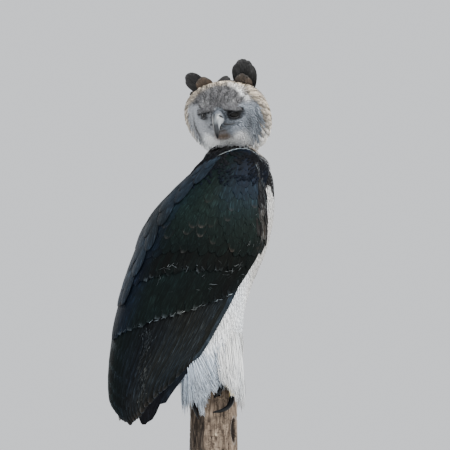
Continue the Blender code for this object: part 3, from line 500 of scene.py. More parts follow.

# %% [markdown]
# The head is painted from broad areas to small marks: grey face, mottled crown, white band behind the
# eye, dark cheeks, cream ruff, white throat, dark lores and sockets. Painted shade deepens the sockets
# under the brows and darkens the far eye's front corner, the crease on the far cheek, the near cheek more
# than the far one and the tan chin under the bill. Theta is how far back a place is, and turn how far
# down from the crown.

# %% Colour of the head
def around_eye(theta, psi, turn, far_side):
    """The eye's dark marks: lores, sockets of dark skin deepened by painted shade under the brow,
    and painted shade in a wedge at the far eye's front corner.
    """
    spot = head_local(theta, psi)
    spot[..., 1] = np.abs(spot[..., 1])
    under_brow = ramp(0.019 - spot[..., 2], 0.0, 0.004)
    off = np.linalg.norm((spot - EYE_SPOT * 1.2) * (1, 0.8, 1.15), axis=-1)
    corner = np.linalg.norm((spot - (0.053, 0.026, 0.004)) * (1, 1, 1.8), axis=-1)
    lore = bump_at(theta, 0.36, 0.13) * bump_at(turn, 1.46, 0.4)
    # The socket is partly dark skin and partly painted shade under the brow, and the far eye's front
    # corner is painted shade.
    socket = ramp(0.02 - 0.0045 * far_side - off, 0.0, 0.005)
    far_corner_shade = bump_at(corner, 0.0, 0.011) * far_side
    return (
        (DARK_GREY * 1.4, np.minimum(lore * 1.15, 1) * (1 - 0.4 * far_side)),
        (DARK_GREY * 0.6, socket * under_brow),
        (DARK_GREY * 0.7, np.minimum(far_corner_shade * 1.3, 1) * under_brow),
    )


def head_colour(theta, psi):
    turn = turn_of(psi)
    far_side = ramp(-np.sin(psi), 0.0, 0.4)
    crown = ramp(1.18 - turn, -0.1, 0.2)
    band_at = np.interp(turn, (0.3, 0.6, 0.84, 1.14), (1.22, 1.12, 1.03, 1.00))
    band = bump_at(theta, band_at, 0.09) * ramp(turn, 0.05, 0.35)
    band = band * ramp(1.2 - turn, 0.0, 0.25) * (np.sin(psi) > 0)
    # The cheek's dark patch and its edge are part tone and part painted shade, so they lie mostly on the
    # near side.
    cheek = bump_at(turn, 1.88, 0.44) * bump_at(theta, 0.89, 0.17)
    cheek_edge = bump_at(turn, 1.75, 0.55) * bump_at(theta, 1.125, 0.04)
    # A line of painted shade in the crease on the far cheek.
    crease_shade_at = np.interp(turn, (1.6, 1.9, 2.2, 2.4), (0.95, 1.03, 1.1, 1.16))
    crease_shade = bump_at(theta, crease_shade_at, 0.055) * bump_at(turn, 1.95, 0.5) * far_side
    ruff_tone = blended(CREAM * 0.8, WHITE, ramp(turn, 1.5, 2.5))
    nape = np.maximum(ramp(2.5 - turn, 0.0, 0.5), ramp(theta, 1.95, 2.25))
    return painted(
        # The near side's face grey is painted darker than the far side's paler grey, as painted shade.
        blended(FACE_GREY, PALE_CHEEK, far_side * 0.8),
        (MID_GREY, crown * ramp(theta, 0.18, 0.34)),
        (WHITE * 0.75, bump_at(theta, 0.56, 0.09) * bump_at(turn, 0.75, 0.2) * 0.22),
        (WHITE * 0.9, band * 0.85),
        (CREAM, crown * bump_at(theta, 1.3, 0.14) * 0.9),
        (MID_GREY * 0.75, crown * ramp(theta, 1.45, 1.7)),
        (FACE_GREY * 0.26, cheek * (0.9 - 0.75 * far_side)),
        (DARK_GREY * 2.2, cheek_edge * (0.6 - 0.5 * far_side)),
        (FACE_GREY * (0.33, 0.29, 0.25), crease_shade),
        (WHITE * 1.05, bump_at(turn, 2.52, 0.24) * bump_at(theta, 0.93, 0.22) * 0.85),
        (ruff_tone, ramp(theta, 1.23, 1.33) * ramp(turn, 0.85, 1.25)),
        (WHITE * 1.05, ramp(turn, 2.2, 2.6) * ramp(theta, 0.55, 0.75)),
        (MID_GREY * 0.8, ramp(theta, 1.7, 2.0) * nape * 0.85),
        *around_eye(theta, psi, turn, far_side),
        # The chin under the bill is tan, darkened by painted shade under the lower mandible.
        (CHIN_TAN_AND_SHADE, bump_at(theta, 0.56, 0.15) * ramp(turn, 2.6, 2.9) * 0.85),
    )


print("colour of the throat:", head_colour(np.array(0.9), np.array(3.0)).round(2))

# %% [markdown]
# The bird is white below, with a black collar and a slate back. The white darkens towards the front and
# the far side, where the photo shows the bird's own shade.

# %% Colour of the body
COLLAR_LOW = 0.5
BREAST_SHADE = np.array((0.38, 0.4, 0.43))


def body_colour(points):
    """The tone of a body feather rooted at each point."""
    x, y, height = points[..., 0], points[..., 1], points[..., 2] - PERCH_TOP
    shade = np.maximum(ramp(y, 0.025, 0.065), ramp(x, 0.07, 0.115))
    edge = COLLAR_LOW + 0.012 * np.sin(x * 90 + y * 60)
    back_edge = -0.09 + (height - 0.205) * 0.479
    return painted(
        WHITE * (1 - shade[..., None] * BREAST_SHADE),
        (BLACK, ramp(height, edge, edge + 0.006)),
        (SLATE, ramp(back_edge - x, 0.0, 0.02) * ramp(height, 0.19, 0.22)),
    )


print("colour of the belly:", body_colour(np.array((0.0, 0.0, PERCH_TOP + 0.2))).round(2))

# %% [markdown]
# A vane is a small grid of points, rows from root to tip and columns from edge to edge, in an outline
# that swells and rounds off. Soft feathers need few points and flight feathers many, so a few grids are
# shared.

# %% Grids and patterns of vanes
SOFT_COLUMNS = np.array((-1.0, 0.0, 1.0))
FIRM_COLUMNS = np.array((-1.0, -0.9, -0.45, 0.0, 0.45, 0.9, 1.0))
FIRM_ROWS = np.array((0.0, 0.22, 0.45, 0.64, 0.78, 0.88, 0.95, 0.985, 1.0))
SOFT = (np.array((0.0, 0.4, 0.78, 1.0)), SOFT_COLUMNS)
FIRM = (FIRM_ROWS, FIRM_COLUMNS)
THIN = (FIRM_ROWS, SOFT_COLUMNS)
LOCK = (np.array((0.0, 0.18, 0.38, 0.58, 0.8, 1.0)), SOFT_COLUMNS)


class Vane:
    """A pattern for vanes: where its rows and columns lie, and each row's share of the width."""

    def __init__(self, grid, root=0.5, full=0.35, round_from=0.6, tip=0.12):
        self.rows, self.columns = grid
        swell = root + (1 - root) * ramp(self.rows / full)
        past = np.clip((self.rows - round_from) / (1 - round_from), 0, 1)
        self.shape = np.maximum(swell * (1 - past**2) ** 0.5, tip)


ROUNDED = Vane(SOFT, round_from=0.4, tip=0.2)
print("widths of a rounded vane's rows:", ROUNDED.shape.round(2))

# %% [markdown]
# Most feathers lie close along the surface that they grow from. Each point is found by walking on it,
# along the feather and then sideways, and is lifted a little, the shaft most.

# %% Vanes along a surface
def surface_frame(surface, a, b, step=1e-3):
    """Points, unit normals and the two slopes of a surface at many places."""
    slope_a = (surface(a + step, b) - surface(a - step, b)) / (2 * step)
    slope_b = (surface(a, b + step) - surface(a, b - step)) / (2 * step)
    return surface(a, b), unit(np.cross(slope_a, slope_b)), slope_a, slope_b


def laid_vanes(surface, root, tip, half_width, rise, vane, facing=1, tilt=0.0, crown=0.12, bow=0.0,
               ragged=0.0):
    """Vanes that lie along a surface, from root to tip, both given as pairs of its numbers.

    rise is the height over the surface at the root and at the tip, tilt lifts the edge that lies
    to the right of the way to the tip, crown is the shaft's height as a share of the width, bow
    bends the vane sideways, and ragged frays its end.
    """
    root, tip = np.asarray(root, float), np.asarray(tip, float)
    each = np.zeros((len(root), 1))
    half_width, low, high, bow, tilt = (
        (each + np.reshape(v, (-1, 1)))[..., None] for v in (half_width, *rise, bow, tilt)
    )
    t = vane.rows[None, :, None]
    s = vane.columns[None, None, :]
    shape = vane.shape[None, :, None]
    way = (tip - root)[:, None]
    a = root[:, None, 0] + way[..., 0] * vane.rows
    b = root[:, None, 1] + way[..., 1] * vane.rows
    _, normal, slope_a, slope_b = surface_frame(surface, a, b)
    ahead = unit(slope_a * way[..., :1] + slope_b * way[..., 1:])
    side = np.cross(ahead, normal * facing)
    aa, ab, bb = ((p * q).sum(-1) for p, q in ((slope_a, slope_a), (slope_a, slope_b), (slope_b, slope_b)))
    scale = np.maximum(aa * bb - ab * ab, 1e-12)

    def steps(direction):
        """How much of each of the surface's numbers makes a metre in a direction."""
        da, db = (slope_a * direction).sum(-1), (slope_b * direction).sum(-1)
        return ((da * bb - db * ab) / scale)[..., None], ((db * aa - da * ab) / scale)[..., None]

    side_a, side_b = steps(side)
    ahead_a, ahead_b = steps(ahead)
    reach = s * half_width * shape + bow * np.sin(t * math.pi * 0.5) ** 2
    forth = np.zeros(reach.shape)
    if ragged:
        fray = draw(-1, 1, (len(root), 1, len(vane.columns)))
        forth = ragged * half_width * fray * ramp(t, 0.7, 1.0)
    at_a = a[..., None] + side_a * reach + ahead_a * forth
    at_b = b[..., None] + side_b * reach + ahead_b * forth
    spot, out, _, _ = surface_frame(surface, at_a, at_b)
    height = low + (high - low) * t + tilt * s * ramp(t * 2.5)
    height = height + crown * half_width * (1 - np.abs(s) ** 1.5) * shape
    return spot + out * facing * height[..., None]


print("a laid vane has", len(SOFT[0]) * len(SOFT[1]), "points, or", len(FIRM[0]) * len(FIRM[1]))

# %% [markdown]
# The crest, the brows and the locks on the legs leave the skin. They follow a curve from the root past a
# control point to the tip.

# %% Vanes along bends
def bent_vanes(root, control, tip, across, half_width, vane, cup=0.0, crown=0.12):
    """Across is the way their width runs, and cup lifts both of their edges."""
    root, control, tip = (np.asarray(v, float)[:, None, :] for v in (root, control, tip))
    across = np.broadcast_to(across, tip[:, 0].shape)[:, None, :]
    half_width = np.broadcast_to(half_width, (len(root),)).astype(float)
    t = vane.rows[None, :, None]
    s = vane.columns[None, None, :, None]
    centre = root * (1 - t) ** 2 + control * (2 * t * (1 - t)) + tip * t * t
    ahead = unit((control - root) * (1 - t) + (tip - control) * t)
    side = unit(across - ahead * (ahead * across).sum(-1, keepdims=True))
    up = np.cross(side, ahead)
    wide = (half_width[:, None] * vane.shape[None, :])[..., None, None]
    lift = wide * (crown * (1 - np.abs(s) ** 1.5) + cup * s * s)
    return centre[:, :, None, :] + side[:, :, None, :] * s * wide + up[:, :, None, :] * lift


print("a lock has", len(LOCK[0]), "rows, so it can bend without a kink")

# %% [markdown]
# Hardly any feather has one tone: the shaft is darker, the root is in shade, and the rim and tip fade.
# Each point of the vane stores its colour.

# %% Tints of vanes
def shaded(base, count, vane, tip=None, tip_from=0.8, tip_share=1.0, rim=None, rim_share=1.0,
           rim_from=0.75, shaft=0.0, root_dark=0.0, vary=0.08):
    """Tints of vanes: a base each, another colour at tip and rim, and a darker shaft and root."""
    base = np.broadcast_to(base, (count, 3)).astype(float)
    base = base * (1 + draw(-vary, vary, (count, 1)))
    t = vane.rows[None, :, None]
    s = np.abs(vane.columns)[None, None, :]
    tints = base[:, None, None, :] + np.zeros((1, len(vane.rows), len(vane.columns), 1))
    if tip is not None:
        share = ramp(t, tip_from, 1.0) * np.broadcast_to(tip_share, (count,))[:, None, None]
        tints = blended(tints, tip, share)
    if rim is not None:
        share = ramp(s, rim_from, 1.0) * ramp(t, 0.25, 0.6)
        tints = blended(tints, rim, share * np.broadcast_to(rim_share, (count,))[:, None, None])
    dark = shaft * (1 - ramp(s, 0.0, 0.5)) + root_dark * (1 - ramp(t, 0.0, 0.5))
    return tints * (1 - dark)[..., None]


def tint_points(mesh, tints):
    layer = mesh.color_attributes.new("tint", "FLOAT_COLOR", "POINT")
    layer.data.foreach_set("color", np.insert(tints, 3, 1, axis=1).astype(np.float32).ravel())


print("tints ready")

# %% [markdown]
# The whole bird is one still body, so each piece rides on the root. The frame's nodes that a piece
# replaces are hidden.

# %% Pieces in the scene
def placed(name, data):
    item = bpy.data.objects.new(name, data)
    bpy.context.scene.collection.objects.link(item)
    return item


def settle(piece, replaces=()):
    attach(piece, "root")
    if replaces:
        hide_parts(*replaces)
    piece.data.calc_loop_triangles()
    print(f"{piece.name}: {len(piece.data.loop_triangles)} triangles")


print("solids to dress:", len(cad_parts))

# %% [markdown]
# A flat underside closes each vane, so it is a solid that can be printed. Vanes with one grid share one
# list of faces, counted on from another point.

# %% Faces of vanes
def vane_faces(rows, columns):
    faces = []
    for r in range(rows - 1):
        for c in range(columns - 1):
            k = r * columns + c
            faces.append((k, k + 1, k + columns + 1, k + columns))
        k = r * columns
        faces.append((k, k + columns, k + 2 * columns - 1, k + columns - 1))
    faces.append(tuple(reversed(range(columns))))
    faces.append(tuple(range((rows - 1) * columns, rows * columns)))
    return faces


def all_faces(grids):
    """Corners of every face, each face's first corner, and whether it is on a vane's front."""
    corners, starts, fronts = [], [], []
    points_before = corners_before = 0
    for count, rows, columns in grids:
        faces = vane_faces(rows, columns)
        one = np.concatenate([np.array(face) for face in faces])
        sizes = np.array([len(face) for face in faces])
        begins = np.concatenate([[0], sizes.cumsum()[:-1]])
        number = np.arange(count)[:, None]
        corners.append((one[None, :] + points_before + number * rows * columns).ravel())
        starts.append((begins[None, :] + corners_before + number * len(one)).ravel())
        front = [len(face) == 4 and max(face) - min(face) == columns + 1 for face in faces]
        fronts.append(np.tile(front, count))
        points_before += count * rows * columns
        corners_before += count * len(one)
    return np.concatenate(corners), np.concatenate(starts), np.concatenate(fronts)


print("faces of a soft vane:", len(vane_faces(4, 3)))

# %% [markdown]
# A coat of ten thousand vanes is one mesh, whose arrays are handed over whole. Each vane has a patch on a
# flat map of the skin, for baking its colour, and a second map in metres that the barbs follow.

# %% Coat meshes
BAKE_PATCH = 0.003
LEAST_TINT = 0.002


class Coat:
    def __init__(self):
        self.points, self.tints, self.bake, self.barbs, self.grids = [], [], [], [], []

    def add(self, points, tints, places, patch=BAKE_PATCH):
        """points are (vane, row, column, xyz), tints the same with colours, places are (vane, uv)."""
        count, rows, columns = points.shape[:3]
        s = np.linspace(0, 1, columns)[None, None, :]
        t = np.linspace(0, 1, rows)[None, :, None]
        spread = np.stack(np.broadcast_arrays(s, t), -1) * patch
        self.bake.append((np.asarray(places)[:, None, None, :] + spread).reshape(-1, 2))
        middle = points[:, :, columns // 2]
        length = np.linalg.norm(np.diff(middle, axis=1), axis=-1).cumsum(1)
        length = np.concatenate([np.zeros((count, 1)), length], 1)[..., None]
        width = np.linalg.norm(points - middle[:, :, None], axis=-1) * np.sign(s * 2 - 1)
        length = length + draw(0, 9, (count, 1, 1))
        self.barbs.append(np.stack(np.broadcast_arrays(width, length), -1).reshape(-1, 2))
        self.points.append(points.reshape(-1, 3))
        self.tints.append(np.broadcast_to(tints, points.shape).reshape(-1, 3))
        self.grids.append((count, rows, columns))

    def grow(self, points, vane, tone, places, patch=BAKE_PATCH, **paint):
        self.add(points, shaded(tone, len(points), vane, **paint), places, patch)

    def make(self, name, finish, slot, replaces=()):
        corners, starts, fronts = all_faces(self.grids)
        points = np.concatenate(self.points)
        mesh = bpy.data.meshes.new(name)
        mesh.vertices.add(len(points))
        mesh.vertices.foreach_set("co", points.astype(np.float32).ravel())
        mesh.loops.add(len(corners))
        mesh.loops.foreach_set("vertex_index", corners.astype(np.int32))
        mesh.polygons.add(len(starts))
        mesh.polygons.foreach_set("loop_start", starts.astype(np.int32))
        mesh.update(calc_edges=True)
        # only the front of a vane is smooth, so its rim doesn't shade like a rolled edge
        mesh.polygons.foreach_set("use_smooth", fronts)
        for title, values in (("OFBake", self.bake), ("barbs", self.barbs)):
            layer = mesh.uv_layers.new(name=title)
            layer.data.foreach_set("uv", np.concatenate(values)[corners].astype(np.float32).ravel())
        tint_points(mesh, np.clip(np.concatenate(self.tints), LEAST_TINT, 1))
        mesh.materials.append(finish)
        mesh.validate()
        settle(placed(name, mesh), replaces)


print("coats ready")

# %% [markdown]
# A vane is hundreds of thin barbs, which show as fine streaks in tone and a satin light. So a noise that
# is stretched along the barbs feeds the colour and a shallow bump, with worn streaks over it. Soft bluish
# patches are painted sheen on the wing's dark feathers and painted cool shade on the white ones.

# %% Feather finish
def feather_finish(name, roughness, streaks, shine, cloud=0.0, cool=None, wear=0.0):
    finish = Finish(name, Specular_IOR_Level=shine)
    barbs = finish.add("ShaderNodeUVMap", {"uv_map": "barbs"})
    parts = finish.add("ShaderNodeSeparateXYZ", {}, {0: barbs})
    across, length = (Wire(finish, parts.socket.node.outputs[k]) for k in (0, 1))
    slant = length - abs(across) * 0.9
    ribs = finish.add("ShaderNodeCombineXYZ", {}, {0: slant * 1500, 1: across * 90})
    streak = finish.noise(1.0, 2.0, ribs)
    tone = 1 + (streak - 0.5) * streaks
    if wear:
        strands = finish.add("ShaderNodeCombineXYZ", {}, {0: across * 650, 1: length * 38})
        worn = finish.noise(1.0, 2.0, strands).between(0.5, 0.75)
        tone = tone * (1 - wear * 0.25 + worn * wear)
    if cloud:
        tone = tone * (1 + (finish.noise(16.0, 3.0) - 0.5) * cloud)
    colour = finish.toned(finish.tint(), tone)
    # cool tints soft patches: a painted sheen on the wing, painted cool shade on the white
    if cool is not None:
        patch = finish.noise(7.0, 1.0).between(0.42, 0.6)
        colour = finish.mix(patch * 0.5, colour, finish.mix(1.0, colour, cool, "MULTIPLY"))
    finish.feed(Base_Color=colour, Roughness=roughness + (streak - 0.5) * 0.16)
    finish.bump(streak, 0.00012)
    return finish.material


soft_white = feather_finish("soft_white_plumage", 0.78, 0.14, 0.15, cloud=0.12, cool=(0.9, 0.96, 1.02))
soft_grey = feather_finish("soft_grey_plumage", 0.78, 0.35, 0.12)
collar_black = feather_finish("collar_plumage", 0.65, 0.4, 0.1)
wing_slate = feather_finish("wing_plumage", 0.62, 0.8, 0.05, cloud=0.6, cool=(0.75, 1.0, 1.35), wear=1.6)
tail_grey = feather_finish("tail_plumage", 0.55, 0.4, 0.15)
print("feather finishes made")

# %% [markdown]
# Skin, lips, bill, eyes and trunk are rows of rings closed at both ends. One function makes such a mesh,
# and another melts several into one.

# %% Closed forms
def closed_grid(name, points):
    """A closed form over rings of points, from an array of ring, place round it and xyz."""
    rings, around = points.shape[:2]
    faces = []
    for r in range(rings - 1):
        one, two = r * around, (r + 1) * around
        for k in range(around):
            after = (k + 1) % around
            faces.append((one + k, one + after, two + after, two + k))
    corners = list(points.reshape(-1, 3))
    for r in (0, rings - 1):
        corners.append(points[r].mean(0))
        for k in range(around):
            faces.append((r * around + k, r * around + (k + 1) % around, len(corners) - 1))
    mesh = bpy.data.meshes.new(name)
    mesh.from_pydata([tuple(p) for p in corners], [], faces)
    work = bmesh.new()
    work.from_mesh(mesh)
    bmesh.ops.recalc_face_normals(work, faces=work.faces)
    work.to_mesh(mesh)
    work.free()
    mesh.shade_smooth()
    return mesh


def tinted_form(name, points, tints, finish):
    mesh = closed_grid(name, points)
    tints = np.broadcast_to(tints, points.shape)
    ends = [tints[0].mean(0)[None], tints[-1].mean(0)[None]]
    tint_points(mesh, np.concatenate([tints.reshape(-1, 3), *ends]))
    mesh.materials.append(finish.material)
    return placed(name, mesh)


def applied(piece):
    graph = bpy.context.evaluated_depsgraph_get()
    graph.update()
    mesh = bpy.data.meshes.new_from_object(piece.evaluated_get(graph))
    piece.modifiers.clear()
    piece.data = mesh


def melted(piece, voxel, rounds):
    """Makes one skin of small cells from all of a piece, and smooths it this many times."""
    melt = piece.modifiers.new("melt", "REMESH")
    melt.mode = "VOXEL"
    melt.voxel_size = voxel
    melt.use_smooth_shade = True
    calm = piece.modifiers.new("calm", "SMOOTH")
    calm.iterations = rounds
    applied(piece)


print("closed forms ready")

# %% [markdown]
# The real skin runs without a break from head to toes. Each part here is a closed form a few millimetres
# inside the solids, and one remesh melts them together, so no seam can show.

# %% Skin
SKIN_VOXEL = 0.003


def inset_rings(surface, heights, facing=1, depth=0.005, around=48):
    b, a = np.meshgrid(heights, ring_of(around), indexing="ij")
    point, normal, _, _ = surface_frame(surface, a, b)
    return point - normal * facing * depth


def tail_root_rings():
    angles = ring_of(48)
    rings = []
    for height, reach in ((0.275, 0.8), (0.24, 0.98), (0.2, 0.92), (0.155, 0.78)):
        x, half = along(TAIL, height)
        depth = 0.012 + 0.26 * (height - 0.155)
        x = x + 0.004 + depth + depth * np.cos(angles)
        rings.append(points_of(x, half * reach * np.sin(angles), PERCH_TOP + height))
    return np.array(rings)


grid_theta, grid_psi = np.meshgrid(np.linspace(0.02, math.pi - 0.02, 60), ring_of(96), indexing="ij")
forms = [
    inset_rings(torso_surface, np.linspace(0.087, 0.548, 60)),
    inset_rings(neck_surface, np.linspace(0.475, 0.572, 20)),
    from_head(head_local(grid_theta, grid_psi, 0.0035)),
    tail_root_rings(),
]
for side, _ in SIDES:
    forms.append(inset_rings(leg_surface(side), np.linspace(0.006, 0.26, 30), side, 0.004))
skin_mesh = bpy.data.meshes.new("skin")
work = bmesh.new()
for form in forms:
    work.from_mesh(closed_grid("form", form))
work.to_mesh(skin_mesh)
work.free()
skin = placed("skin", skin_mesh)
melted(skin, SKIN_VOXEL, 4)
print("forms melted into the skin:", len(forms))

# %% [markdown]
# Between the feathers one sees their down, which is a little darker. Each point of the skin takes the
# plumage's colour at its place, broken up by fine fluff.

# %% Colour of the skin
HEAD_LOW = 0.578
SKIN_DARKENED = 0.8


def plumage_colour(points):
    local = into_head(points)
    distance = np.maximum(np.linalg.norm(local, axis=-1), 1e-6)
    theta = np.arccos(np.clip(local[..., 0] / distance, -1, 1))
    psi = np.arctan2(local[..., 1], local[..., 2])
    on_head = (points[..., 2] > PERCH_TOP + HEAD_LOW)[..., None]
    return np.where(on_head, head_colour(theta, psi), body_colour(points))


skin_points = np.array([v.co for v in skin.data.vertices])
tint_points(skin.data, np.clip(plumage_colour(skin_points), LEAST_TINT, 1) * SKIN_DARKENED)
skin_finish = Finish("skin_down", Specular_IOR_Level=0.1)
fluff = skin_finish.noise(600.0)
down = skin_finish.mix(fluff * 0.4, skin_finish.tint(), (0.03, 0.03, 0.032))
skin_finish.feed(Base_Color=down, Roughness=0.7 + fluff * 0.2)
skin_finish.bump(fluff, 0.0006)
skin.data.materials.append(skin_finish.material)
settle(skin, ("torso", "mantle", "neck", "head", "leg_right", "leg_left"))

# %% [markdown]
# Contour feathers grow in rows, each shifted half a step from the last. A small draw for each keeps the
# rows from looking like a machine's.

# %% Rows over a surface
def rows_over(low, high, rows_at, spacing, radius=1.0, jitter=0.25):
    """Radius turns metres into the surface's first number in each row."""
    roots = []
    gap = abs(rows_at[1] - rows_at[0])
    for i, (row_at, step) in enumerate(zip(rows_at, spacing / (radius + 0 * rows_at))):
        count = max(int((high - low) / step), 1)
        a = low + (np.arange(count) + 0.5 * (i % 2) + 0.25) * (high - low) / count
        a = a + draw(-jitter, jitter, count) * step
        roots.append(pairs(a, row_at + draw(-jitter, jitter, count) * gap))
    return np.concatenate(roots)


print("rows of roots are staggered by half a step")

# %% [markdown]
# No feather may grow over the eyes or the lips. An opening is an oval across the eye's axis, a little
# smaller on the right, and the mouth is a line from the bill to its corner. A test says whether a place
# is clear of both.

# %% Places on the face
# half width, height above and height below of each eye's opening
EYE_OPENING = {-1: (0.0108, 0.0065, 0.0072), 1: (0.0165, 0.0085, 0.0105)}
# y and z of the mouth's line
MOUTH = np.array(((0.013, -0.0145), (0.02, -0.016), (0.027, -0.0168), (0.034, -0.0166), (0.041, -0.0152)))
LIP_CLEARANCE = 0.0042


def eye_axes(side):
    """The way the eye looks, and the ways across and up in its opening."""
    axis = unit(np.array((0.74, side * 0.67, -0.02)))
    across = unit(np.cross((0, 0, 1), axis))
    return axis, across, np.cross(axis, across)


def mouth_at(share):
    """y and z along the mouth, where share counts the table's points."""
    return [np.interp(share, np.arange(5), MOUTH[:, k]) for k in (0, 1)]


def face_at(y, z):
    """Theta and psi of the place on the front of the head with these y and z."""
    y, z = np.asarray(y, float), np.asarray(z, float)
    x = np.full(y.shape, 0.06)
    for _ in range(8):
        theta, psi = np.arctan2(np.hypot(y, z), x), np.arctan2(y, z)
        radius = np.linalg.norm(head_local(theta, psi), axis=-1)
        x = np.sqrt(np.maximum(radius**2 - y**2 - z**2, 1e-5))
    return theta, psi


def clear_of(local, grow=1.0):
    """True where a point of the head is outside both lid openings and off the lips."""
    keep = np.ones(len(local), bool)
    for side, _ in SIDES:
        _, across, up = eye_axes(side)
        off = local - EYE_SPOT * (1, side, 1)
        x, y = off @ across, off @ up
        wide, above, under = EYE_OPENING[side]
        tall = np.where(y > 0, above, under) * grow
        inside = (x / (wide * grow)) ** 2 + (y / tall) ** 2 < 1
        keep &= ~(inside & (np.linalg.norm(off, axis=1) < 0.035))
    lips = np.stack(mouth_at(np.linspace(0, 4, 25)), -1)
    flat = pairs(np.abs(local[:, 1]), local[:, 2] + 0.0015)
    near = np.linalg.norm(flat[:, None] - lips[None], axis=-1).min(1)
    return keep & ((near > LIP_CLEARANCE * grow) | (local[:, 0] < 0.03) | (local[:, 1] < -0.022))


print("the pupil's place is free:", not clear_of(EYE_SPOT[None])[0])

# %% [markdown]
# The face carries the smallest feathers, a few millimetres long, which lie back from the bill. They grow
# longer behind it, so four bands of rows follow, each coarser than the last. The first two make the face
# and the others the hood.

# %% Face and hood
HEAD_RADIUS = 0.085
HEAD_BANDS = [
    # first and last theta, row step, spacing, length and half width in metres, rise at the tip
    (0.24, 0.6, 0.024, 0.0022, 0.0062, 0.0013, 0.0008),
    (0.6, 1.16, 0.03, 0.0028, 0.0095, 0.0019, 0.0012),
    (1.16, 1.8, 0.042, 0.0042, 0.018, 0.0034, 0.0022),
    (1.8, 2.85, 0.066, 0.0062, 0.026, 0.005, 0.0026),
]
FACE_VANE = Vane(SOFT, round_from=0.35)


def bake_disc(theta, psi):
    """The head's skin flattened to a disc, as a map of a pole is."""
    reach = theta / math.pi * 0.49
    return pairs(0.5 + reach * np.sin(psi), 0.5 + reach * np.cos(psi))


def ways_back(theta, psi, reach):
    """The tips of feathers that lie back from the bill, and turn down on the sides of the head."""
    turn = turn_of(psi)
    down = ramp(theta, 0.7, 1.2) * ramp(turn, 0.5, 1.15)
    down = down * ramp(3.05 - turn, 0.0, 0.9)
    lean = math.radians(66) * down
    lean = lean + 0.16 * np.sin(5 * psi + 7 * theta) + 0.12 * np.sin(13 * psi - 9 * theta)
    lean = lean * np.where(down > 0.02, 1, 1.4)
    outward = np.where(psi < 0, -1, 1)
    return np.stack([
        theta + reach * np.cos(lean), psi + outward * reach * np.sin(lean) / np.sin(theta)
    ], -1)


def mottling(theta, psi):
    """Rays and flecks of the crown and the ruff's upper part, as a factor for the tone."""
    turn = turn_of(psi)
    mottled = ramp(1.2 - turn, -0.1, 0.2) * ramp(theta, 0.26, 0.45)
    ruffled = ramp(theta, 1.2, 1.3) * ramp(2.6 - turn, 0.0, 0.5) * (1 - mottled)
    rays = 0.5 + 0.5 * np.sin(psi * 19 + 2.2 * np.sin(theta * 6))
    flecks = draw(0, 1, len(theta)) ** 2
    factor = 1 + mottled * (0.6 * rays + 0.9 * flecks - 0.7)
    return (factor - ruffled * 0.6 * ramp(flecks, 0.25, 0.5))[:, None]


face, hood = Coat(), Coat()
for first, last, row_step, spacing, length, half_width, rise in HEAD_BANDS:
    rows_at = np.arange(first, last, row_step)
    roots = rows_over(-math.pi, math.pi, rows_at, spacing, HEAD_RADIUS * np.sin(rows_at), 0.45)
    psi, theta = roots[:, 0], roots[:, 1]
    local = head_local(theta, psi)
    tips = ways_back(theta, psi, length * draw(0.75, 1.25, len(theta)) / HEAD_RADIUS)
    keep = clear_of(local) & clear_of(head_local(*tips.T), 0.85)
    keep &= (theta > 0.44) | (turn_of(psi) < 2.2)
    keep &= from_head(local)[:, 2] > PERCH_TOP + 0.572
    theta, psi, tips = theta[keep], psi[keep], tips[keep]
    count = len(theta)
    points = laid_vanes(
        head_surface, pairs(theta, psi), tips, half_width * draw(0.8, 1.2, count),
        (-0.0022, rise + draw(-0.0004, 0.0006, count)), FACE_VANE, facing=-1, crown=0.05,
    )
    base = head_colour(theta, psi) * mottling(theta, psi)
    rim = (base * 1.35 + 0.015)[:, None, None, :]
    (face if last < 1.5 else hood).grow(
        points, FACE_VANE, base, bake_disc(theta, psi), rim=rim, rim_share=0.6, shaft=0.18,
        root_dark=0.15, vary=0.1,
    )
face.make("face_feathers", soft_grey, "grey_feather")
hood.make("hood_feathers", soft_grey, "grey_feather")

# %% [markdown]
# Longer feathers frame the face like an owl's and gather sound. Three rows stand off the head from the
# crown's sides to the throat, cream above and white below.

# %% Ruff beside the face
RUFF_ROWS = [
    # theta of the roots, length, half width, rise at the tip
    (1.4, 0.034, 0.006, 0.0035),
    (1.31, 0.032, 0.0056, 0.0045),
    (1.23, 0.026, 0.0048, 0.0045),
]
ruff = Coat()
for row, (first, length, half_width, lift) in enumerate(RUFF_ROWS):
    count = 84 + 12 * row
    psi = math.radians(40) + math.radians(280) * (np.arange(count) + 0.5 * row) / count
    psi = (psi + draw(-0.03, 0.03, count) + math.pi) % (2 * math.pi) - math.pi
    theta = first + draw(-0.035, 0.035, count)
    tips = ways_back(theta, psi, length / 0.092 * draw(0.8, 1.15, count))
    points = laid_vanes(
        head_surface, pairs(theta, psi), tips, half_width, (-0.0015, lift), ROUNDED,
        facing=-1, crown=0.06,
    )
    base = blended(head_colour(theta + 0.12, psi), head_colour(theta, psi), 0.25)
    upper = ramp(2.5 - turn_of(psi), 0.0, 0.6)
    base = base * (1.15 - 0.7 * upper * ramp(draw(0, 1, count), 0.5, 0.95))[:, None]
    rim = (base * 1.25 + 0.03)[:, None, None, :]
    ruff.grow(
        points, ROUNDED, base, bake_disc(theta, psi), rim=rim, rim_share=0.6, shaft=0.25, root_dark=0.2
    )
ruff.make("ruff_feathers", soft_grey, "grey_feather")

# %% [markdown]
# Short stiff feathers lie out over each eye, so it sits in their shade and the bird seems to frown. They
# stand free of the skin, and one brow is the mirror of the other.

